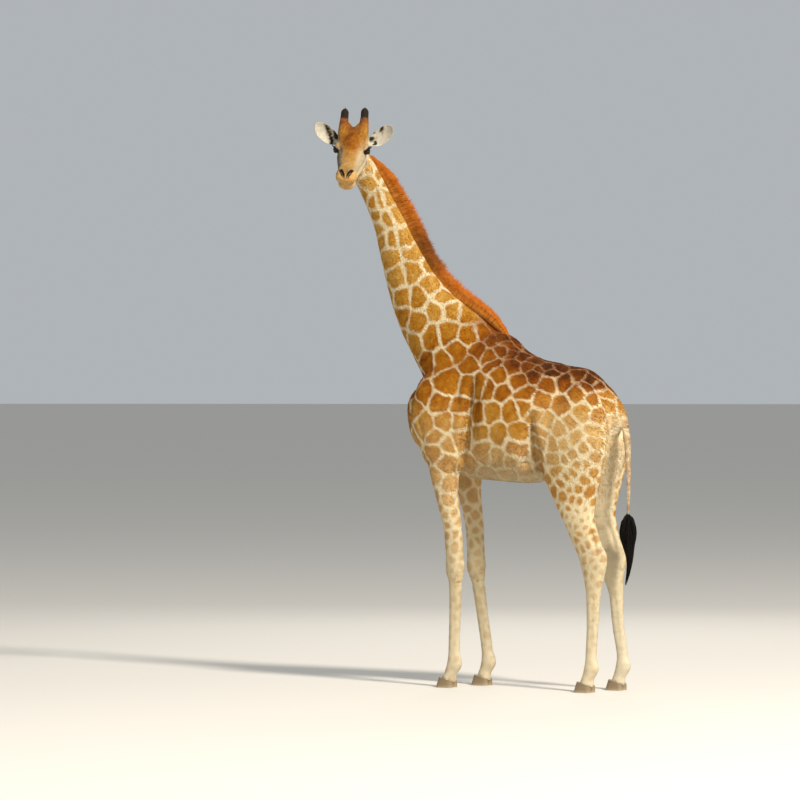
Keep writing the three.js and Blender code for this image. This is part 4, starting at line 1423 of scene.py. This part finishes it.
# %% Sowing roots on the skin
skin_mesh.calc_loop_triangles()
triangles = np.zeros(len(skin_mesh.loop_triangles) * 3, np.int32)
skin_mesh.loop_triangles.foreach_get("vertices", triangles)
triangles = triangles.reshape(-1, 3)
skin_no = normals_of(skin_mesh)
corner = skin_co[triangles]
areas = np.linalg.norm(np.cross(corner[:, 1] - corner[:, 0], corner[:, 2] - corner[:, 0]), axis=1) / 2
centroids = corner.mean(1)
head_local = to_head(centroids)
facial = on_face(centroids)
cx, cy, cz = centroids.T
is_head = facial > 0.5
is_neck = ~is_head & (cz - 0.6 * cy > 2.87)
is_leg = ~is_head & ~is_neck & (cz < 1.56)
eye_gap = np.min([eye_view(head_local, way)[0] for way in (1, -1)], axis=0)
bare = is_head & (eye_gap < 0.030) | (cz < 0.06)
PIECES = {  # which triangles, how many tufts, how long in mm
    "coat_left": (~is_head & ~is_neck & ~is_leg & (cx > 0), 44000, 21),
    "coat_right": (~is_head & ~is_neck & ~is_leg & (cx <= 0), 44000, 21),
    "coat_neck": (is_neck, 42000, 20),
    "coat_forelegs": (is_leg & (cy < 0.05), 34000, 21),
    "coat_hindlegs": (is_leg & (cy >= 0.05), 38000, 21),
    "coat_head": (is_head, 44000, 9),
}


def sow(mask, count):
    weight = areas * mask * ~bare
    pick = chance.choice(len(areas), count, p=weight / weight.sum())
    share = np.sort(chance.uniform(0, 1, (count, 2)), axis=1)
    share = np.column_stack([share[:, 0], share[:, 1] - share[:, 0], 1 - share[:, 1]])[:, :, None]
    own = triangles[pick]
    co = (skin_co[own] * share).sum(1)
    no = unit((skin_no[own] * share).sum(1))
    amounts = {name: (values[own] * share[:, :, 0]).sum(1) for name, values in skin_amounts.items()}
    amounts["tint"] = chance.uniform(-1, 1, count)
    return co, no, facial[pick], amounts


def map_of_piece(name, co):
    x, y, z = co.T
    local = to_head(co)
    if name in ("coat_left", "coat_right"):
        return round_form(np.arctan2(np.abs(x), z - 2.0) / math.pi, y)
    if name == "coat_neck":
        middle_y = np.interp(z, [2.3, 2.6, 3.03, 3.48, 3.85, 4.05], [-0.52, -0.66, -0.9, -1.07, -1.25, -1.3])
        return round_form(full_turn(x - np.interp(z, [3.0, 4.0], [0, 0.14]), y - middle_y), z)
    if name == "coat_forelegs":
        placed = np.zeros((len(co), 2))
        for k, own in enumerate((x > 0, x <= 0)):
            placed[own] = round_form(full_turn(np.abs(x[own]) - 0.172, y[own] + 0.46), z[own], k, 2)
        return placed
    if name == "coat_hindlegs":
        placed = np.zeros((len(co), 2))
        tail = (y > 0.87) & (z > 1.2)
        for k, own in enumerate(((x > 0) & ~tail, (x <= 0) & ~tail, tail)):
            centre_x, centre_y = (0.003, 0.916) if k == 2 else (0.172, 0.71)
            spread = x[own] if k == 2 else np.abs(x[own])
            placed[own] = round_form(full_turn(spread - centre_x, y[own] - centre_y), z[own], k, 3)
        return placed
    placed = round_form(full_turn(local[:, 0], local[:, 2] + 0.02) * 0.98, local[:, 1]) * (0.6, 1)
    ear = (np.abs(local[:, 0]) > 0.112) & (local[:, 1] > 0.08)
    horn = ~ear & (local[:, 2] - 0.35 * local[:, 1] > 0.065) & (local[:, 1] > 0.02)
    for k, side in enumerate((local[:, 0] > 0, local[:, 0] <= 0)):
        own = ear & side
        way = 1 - 2 * k
        lie = local[own] @ np.array(ear_across(way))
        facing = lie + 0.06 * np.sign(local[own, 1] - 0.13)
        spread = round_form((facing + 0.15) / 0.3, np.abs(local[own, 0]))
        placed[own] = (0.61 + 0.1 * k, 0) + spread * (0.09, 1)
        own = horn & side
        turn_round = full_turn(np.abs(local[own, 0]) - 0.075, (local[own, 1] - local[own, 2]) * 0.7)
        spread = round_form(turn_round, local[own, 1] + local[own, 2])
        placed[own] = (0.81 + 0.1 * k, 0) + spread * (0.09, 1)
    return np.clip(placed, 0, 1)


# %% Growing the coat
LEAN = math.radians(8)  # how far a tuft stands off the skin
coat = coat_material("short_coat_tufts", 300.0, 0.001)


def grow_coat(name, mask, count, length):
    co, no, face_share, amounts = sow(mask, count)
    flow = lie_of_hair(co, no, face_share)
    local = to_head(co)
    long = length * MM * chance.uniform(0.7, 1.25, count)
    long *= 1 - 0.45 * face_share * ramp(local[:, 1], -0.15, -0.33)
    long *= 1 - 0.3 * ramp(co[:, 2], 1.8, 1.2) - 0.25 * ramp(co[:, 2], 0.6, 0.1)
    lean = (LEAN * (1 - 0.5 * face_share) * chance.uniform(0.4, 1.6, count))[:, None]
    amounts["tint"] *= 1 - 0.6 * face_share
    start = co - no * 0.001
    tips = start + (flow * np.cos(lean) + no * np.sin(lean)) * long[:, None]
    paths = np.stack([start, tips], 1)
    wide, thick = long * (0.11 + 0.04 * face_share), long * 0.06
    tuft = spikes(name, paths, wide, thick, np.cross(flow, no), map_of_piece(name, co), amounts)
    tuft.data.materials.append(coat)
    place(tuft, "coat")
    print(name, len(tuft.data.polygons), "faces")


for name, (mask, count, length) in PIECES.items():
    grow_coat(name, mask, count, length)

# %% [markdown]
# ## Mane and tail
# The mane is a stiff upright brush along the crest of the neck, so its locks start on the crest and
# stand out from it, leaning a little back. A solid core keeps light from showing between them. The tail
# ends in long black hair that hangs from its last stretch.

# %% Mane
MANE = [
    (112, -1195, 3985, 12, 16, 40),
    (88, -1116, 3869, 18, 58, 50),
    (70, -1058, 3780, 20, 82, 60),
    (42, -972, 3586, 22, 108, 60),
    (16, -874, 3393, 22, 110, 60),
    (0, -809, 3222, 22, 118, 60),
    (0, -716, 3103, 22, 114, 60),
    (0, -573, 2969, 22, 98, 60),
    (0, -362, 2852, 22, 62, 60),
    (0, -236, 2776, 20, 48, 60),
    (0, -126, 2682, 16, 22, 50),
    (0, -84, 2630, 10, 8, 40),
]
MANE_LOCKS = 7000


def frame_along(sections, t):
    """Centre, direction, left, rear and reaches of a form at the shares t of its length."""
    rows = np.array(sections, float) * MM
    centre = spline(rows[:, :3], t)
    along = unit(spline(rows[:, :3], np.minimum(t + 1e-3, 1)) - spline(rows[:, :3], np.maximum(t - 1e-3, 0)))
    left = unit(np.array([1.0, 0, 0]) - along * along[:, :1])
    return centre, along, left, np.cross(left, along), spline(rows[:, 3:6], t)


def hair_material(name, root, tip, gloss):
    n = Nodes(name)
    blend = n.maths("ADD", n.amount("rise"), n.between(n.noise(22.0), 0.3, 0.7, -0.3, 0.3))
    colour = n.mix(blend, root, tip)
    colour = n.mix(n.amount("dark_tint_and_shade"), colour, DARK_TINT_AND_SHADE)
    tint = n.maths("MULTIPLY", n.amount("tint"), 0.25)
    shade = n.between(n.maths("ADD", tint, n.noise(300.0, 3)), 0.2, 0.8, 0.7, 1.25)
    n.put(n.shader.inputs["Base Color"], n.shaded(colour, shade))
    n.put(n.shader.inputs["Roughness"], n.between(n.noise(200.0), 0.2, 0.8, gloss, gloss + 0.2))
    n.shader.inputs["Specular IOR Level"].default_value = 0.12
    n.bump(n.noise(500.0, 2), 0.0006)
    return n.material


t = chance.uniform(0, 1, MANE_LOCKS) ** 0.95
centre, along, left, rear, reach = frame_along(MANE, t)
side, back, front = reach.T[:, :, None]
across_brush = chance.uniform(-1, 1, (MANE_LOCKS, 1))
edge_drop = 1 - 0.35 * across_brush**2
waves = cloud(centre, 0.05)[:, None] * 0.07 + cloud(centre, 0.014)[:, None] * 0.08
tall = back * (edge_drop + waves) * chance.triangular(0.72, 0.92, 1.18, (MANE_LOCKS, 1))
start = centre + left * across_brush * side * 0.8 - rear * front * 0.75
swept = along * chance.uniform(0.02, 0.3, (MANE_LOCKS, 1)) * np.maximum(back, 0.03)
over = left * across_brush * side * 0.25 + swept
share = np.array([0, 0.35, 0.7, 1.0])[None, :, None]
stand = (rear * (tall + front * 0.75))[:, None]
paths = start[:, None] + stand * share + over[:, None] * share**2
dark_middle = ramp(centre[:, 2], 3.02, 3.16) * ramp(centre[:, 2], 3.52, 3.3)
dark_tint_and_shade = 0.45 * dark_middle + 0.12 * chance.uniform(0, 1, MANE_LOCKS)
amounts = {"dark_tint_and_shade": dark_tint_and_shade, "tint": chance.uniform(-1, 1, MANE_LOCKS)}
unwrapped = np.column_stack([across_brush[:, 0] * 0.5 + 0.5, t])
mane = spikes("mane_locks", paths, 0.0042, 0.004, np.cross(rear, left), unwrapped, amounts)
core_sections = [(x, y, z, s * 0.7, b * 0.62, f) for x, y, z, s, b, f in MANE]
core = mesh_object("mane_core", *loft(core_sections, 120, 20, -0.001, dome=0.001))
mane.data.materials.append(hair_material("mane_hair", srgb(212, 140, 56), srgb(184, 98, 20), 0.6))
core.data.materials.append(hair_material("mane_root_hair", srgb(160, 84, 18), srgb(150, 70, 12), 0.7))
place(mane, "mane_hair", "mane")
place(core, "mane_hair")
print("mane:", len(mane.data.polygons), "faces")

# %% Tail tuft
TAIL_TUFT = [
    (4, 914, 1320, 16, 16, 16),
    (4, 916, 1255, 46, 50, 52),
    (4, 916, 1165, 56, 66, 64),
    (2, 920, 1070, 42, 44, 46),
    (0, 928, 985, 26, 24, 26),
    (0, 916, 880, 16, 14, 16),
    (0, 892, 780, 6, 6, 6),
]
TAIL_LOCKS = 1500
t0 = chance.uniform(0, 0.5, TAIL_LOCKS)
t1 = np.clip(t0 + chance.triangular(0.25, 0.35, 0.7, TAIL_LOCKS), 0, 1)
angle = chance.uniform(0, 2 * math.pi, TAIL_LOCKS)
depth = np.sqrt(chance.uniform(0.25, 1, TAIL_LOCKS))
steps = []
for share in (0, 0.12, 0.3, 0.5, 0.75, 1.0):
    t = t0 + (t1 - t0) * share
    centre, along, left, rear, reach = frame_along(TAIL_TUFT, t)
    out = 0.12 + 0.88 * depth * ramp(share, 0.0, 0.3)
    swing = angle + 0.5 * share * np.sin(7 * angle)
    sideways = left * (np.cos(swing) * reach[:, 0] * out)[:, None]
    steps.append(centre + (sideways + rear * (np.sin(swing) * reach[:, 1] * out)[:, None]))
paths = np.stack(steps, 1)
flat = unit(np.cross(paths[:, 1] - paths[:, 0], np.array([0.3, 0.2, 1.0])[None]))
amounts = {"dark_tint_and_shade": np.full(TAIL_LOCKS, 0.0), "tint": chance.uniform(-1, 1, TAIL_LOCKS)}
unwrapped = np.column_stack([angle / (2 * math.pi), t0 * 2])
tuft = spikes("tail_locks", paths, 0.0038, 0.0032, flat, unwrapped, amounts)
tuft.data.materials.append(hair_material("tail_hair", srgb(9, 8, 6), srgb(24, 20, 13), 0.45))
place(tuft, "tail_hair", "tail_tuft")
print("tail tuft:", len(tuft.data.polygons), "faces")

# %% [markdown]
# ## Black tips and lashes
# The ossicones end in thick black hair that stands up in a point, and the upper lids carry long lashes.

# %% Hair on the ossicones
HORN_LOCKS = 900
starts, tips = [], []
for way in (1, -1):
    rise = HORN_RISE[way]
    knob = np.array([way * 75, rise - 32, rise - 35]) * MM
    up_horn = unit(np.array([0, 1.0, 1.0]))
    around = chance.uniform(0, 2 * math.pi, (HORN_LOCKS, 1))
    ring_out = np.array([[1.0, 0, 0]]) * np.cos(around) + unit(np.array([[0, 1.0, -1.0]])) * np.sin(around)
    rim = np.sqrt(chance.uniform(0, 1, (HORN_LOCKS, 1)))  # 0 on top of the knob, 1 round its side
    low = np.where(rim > 0.7, chance.uniform(-0.008, 0.016, (HORN_LOCKS, 1)), 0.022 * np.sqrt(1 - rim**2))
    start = knob + up_horn * low + ring_out * 0.027 * rim
    tip = start + up_horn * (0.016 + 0.026 * (1 - rim)) - ring_out * 0.02 * rim
    starts.append(from_head(start))
    tips.append(from_head(tip))
start, tip = np.vstack(starts), np.vstack(tips)
paths = np.stack([start, (start + tip) / 2 + (start - tip) * 0.02, tip], 1)
amounts = {"dark_tint_and_shade": np.full(len(start), 0.5), "tint": chance.uniform(-1, 1, len(start))}
strip = (np.arange(len(start)) >= HORN_LOCKS) * 0.5
round_horn = strip + 0.5 * full_turn(*(start - start.mean(0)).T[:2])
unwrapped = np.column_stack([round_horn, (start[:, 2] - start[:, 2].min()) / np.ptp(start[:, 2])])
across_lock = tip[:, [1, 0, 2]] - start[:, [1, 0, 2]] + 0.01
tops = spikes("ossicone_tips", paths, 0.0022, 0.0018, across_lock, unwrapped, amounts)
tops.data.materials.append(hair_material("ossicone_hair", srgb(20, 16, 15), srgb(52, 36, 26), 0.45))
place(tops, "ossicone_hair")

# %% Lashes
LASHES = 46
rows = []
for way in (1, -1):
    looks, along, across = eye_axes(way)
    u = np.linspace(-0.9, 0.95, LASHES)
    for row in (0, 1):
        a = (u + chance.uniform(-0.02, 0.02, LASHES)) * EYE_OPEN[0]
        b = np.sqrt(np.clip(1 - u**2, 0, 1)) * EYE_OPEN[1] + 0.04 + 0.05 * row
        out = np.sqrt(np.clip(1 - a**2 - b**2, 0.02, 1))
        heading = a[:, None] * along + b[:, None] * across + out[:, None] * looks
        foot = np.array(EYE) * (way, 1, 1) * MM + heading * (LID_SHELL + 0.5) * MM
        long = (20 - 4 * np.abs(u))[:, None] * MM * chance.uniform(0.8, 1.1, (LASHES, 1))
        bends = ((0, 0), (0.5, -0.16), (0.9, -0.1), (1.1, 0.1))  # away from the lid, and up
        curve = [heading * away + across * rise for away, rise in bends]
        steps = np.stack([foot + long * bend for bend in curve], 1)
        rows.append(from_head(steps.reshape(-1, 3)).reshape(-1, 4, 3))
paths = np.vstack(rows)
amounts = {"dark_tint_and_shade": np.full(len(paths), 0.6), "tint": np.zeros(len(paths))}
unwrapped = np.column_stack([np.linspace(0, 1, len(paths)), np.tile(np.linspace(0, 1, LASHES), 4)])
across_lash = paths[:, 3] - paths[:, 0] + 0.01
lashes = spikes("lashes", paths, 0.0009, 0.0008, across_lash, unwrapped, amounts)
lashes.data.materials.append(hair_material("lash_hair", srgb(14, 12, 12), srgb(26, 22, 20), 0.4))
place(lashes, "ossicone_hair")
print("lashes:", len(paths))
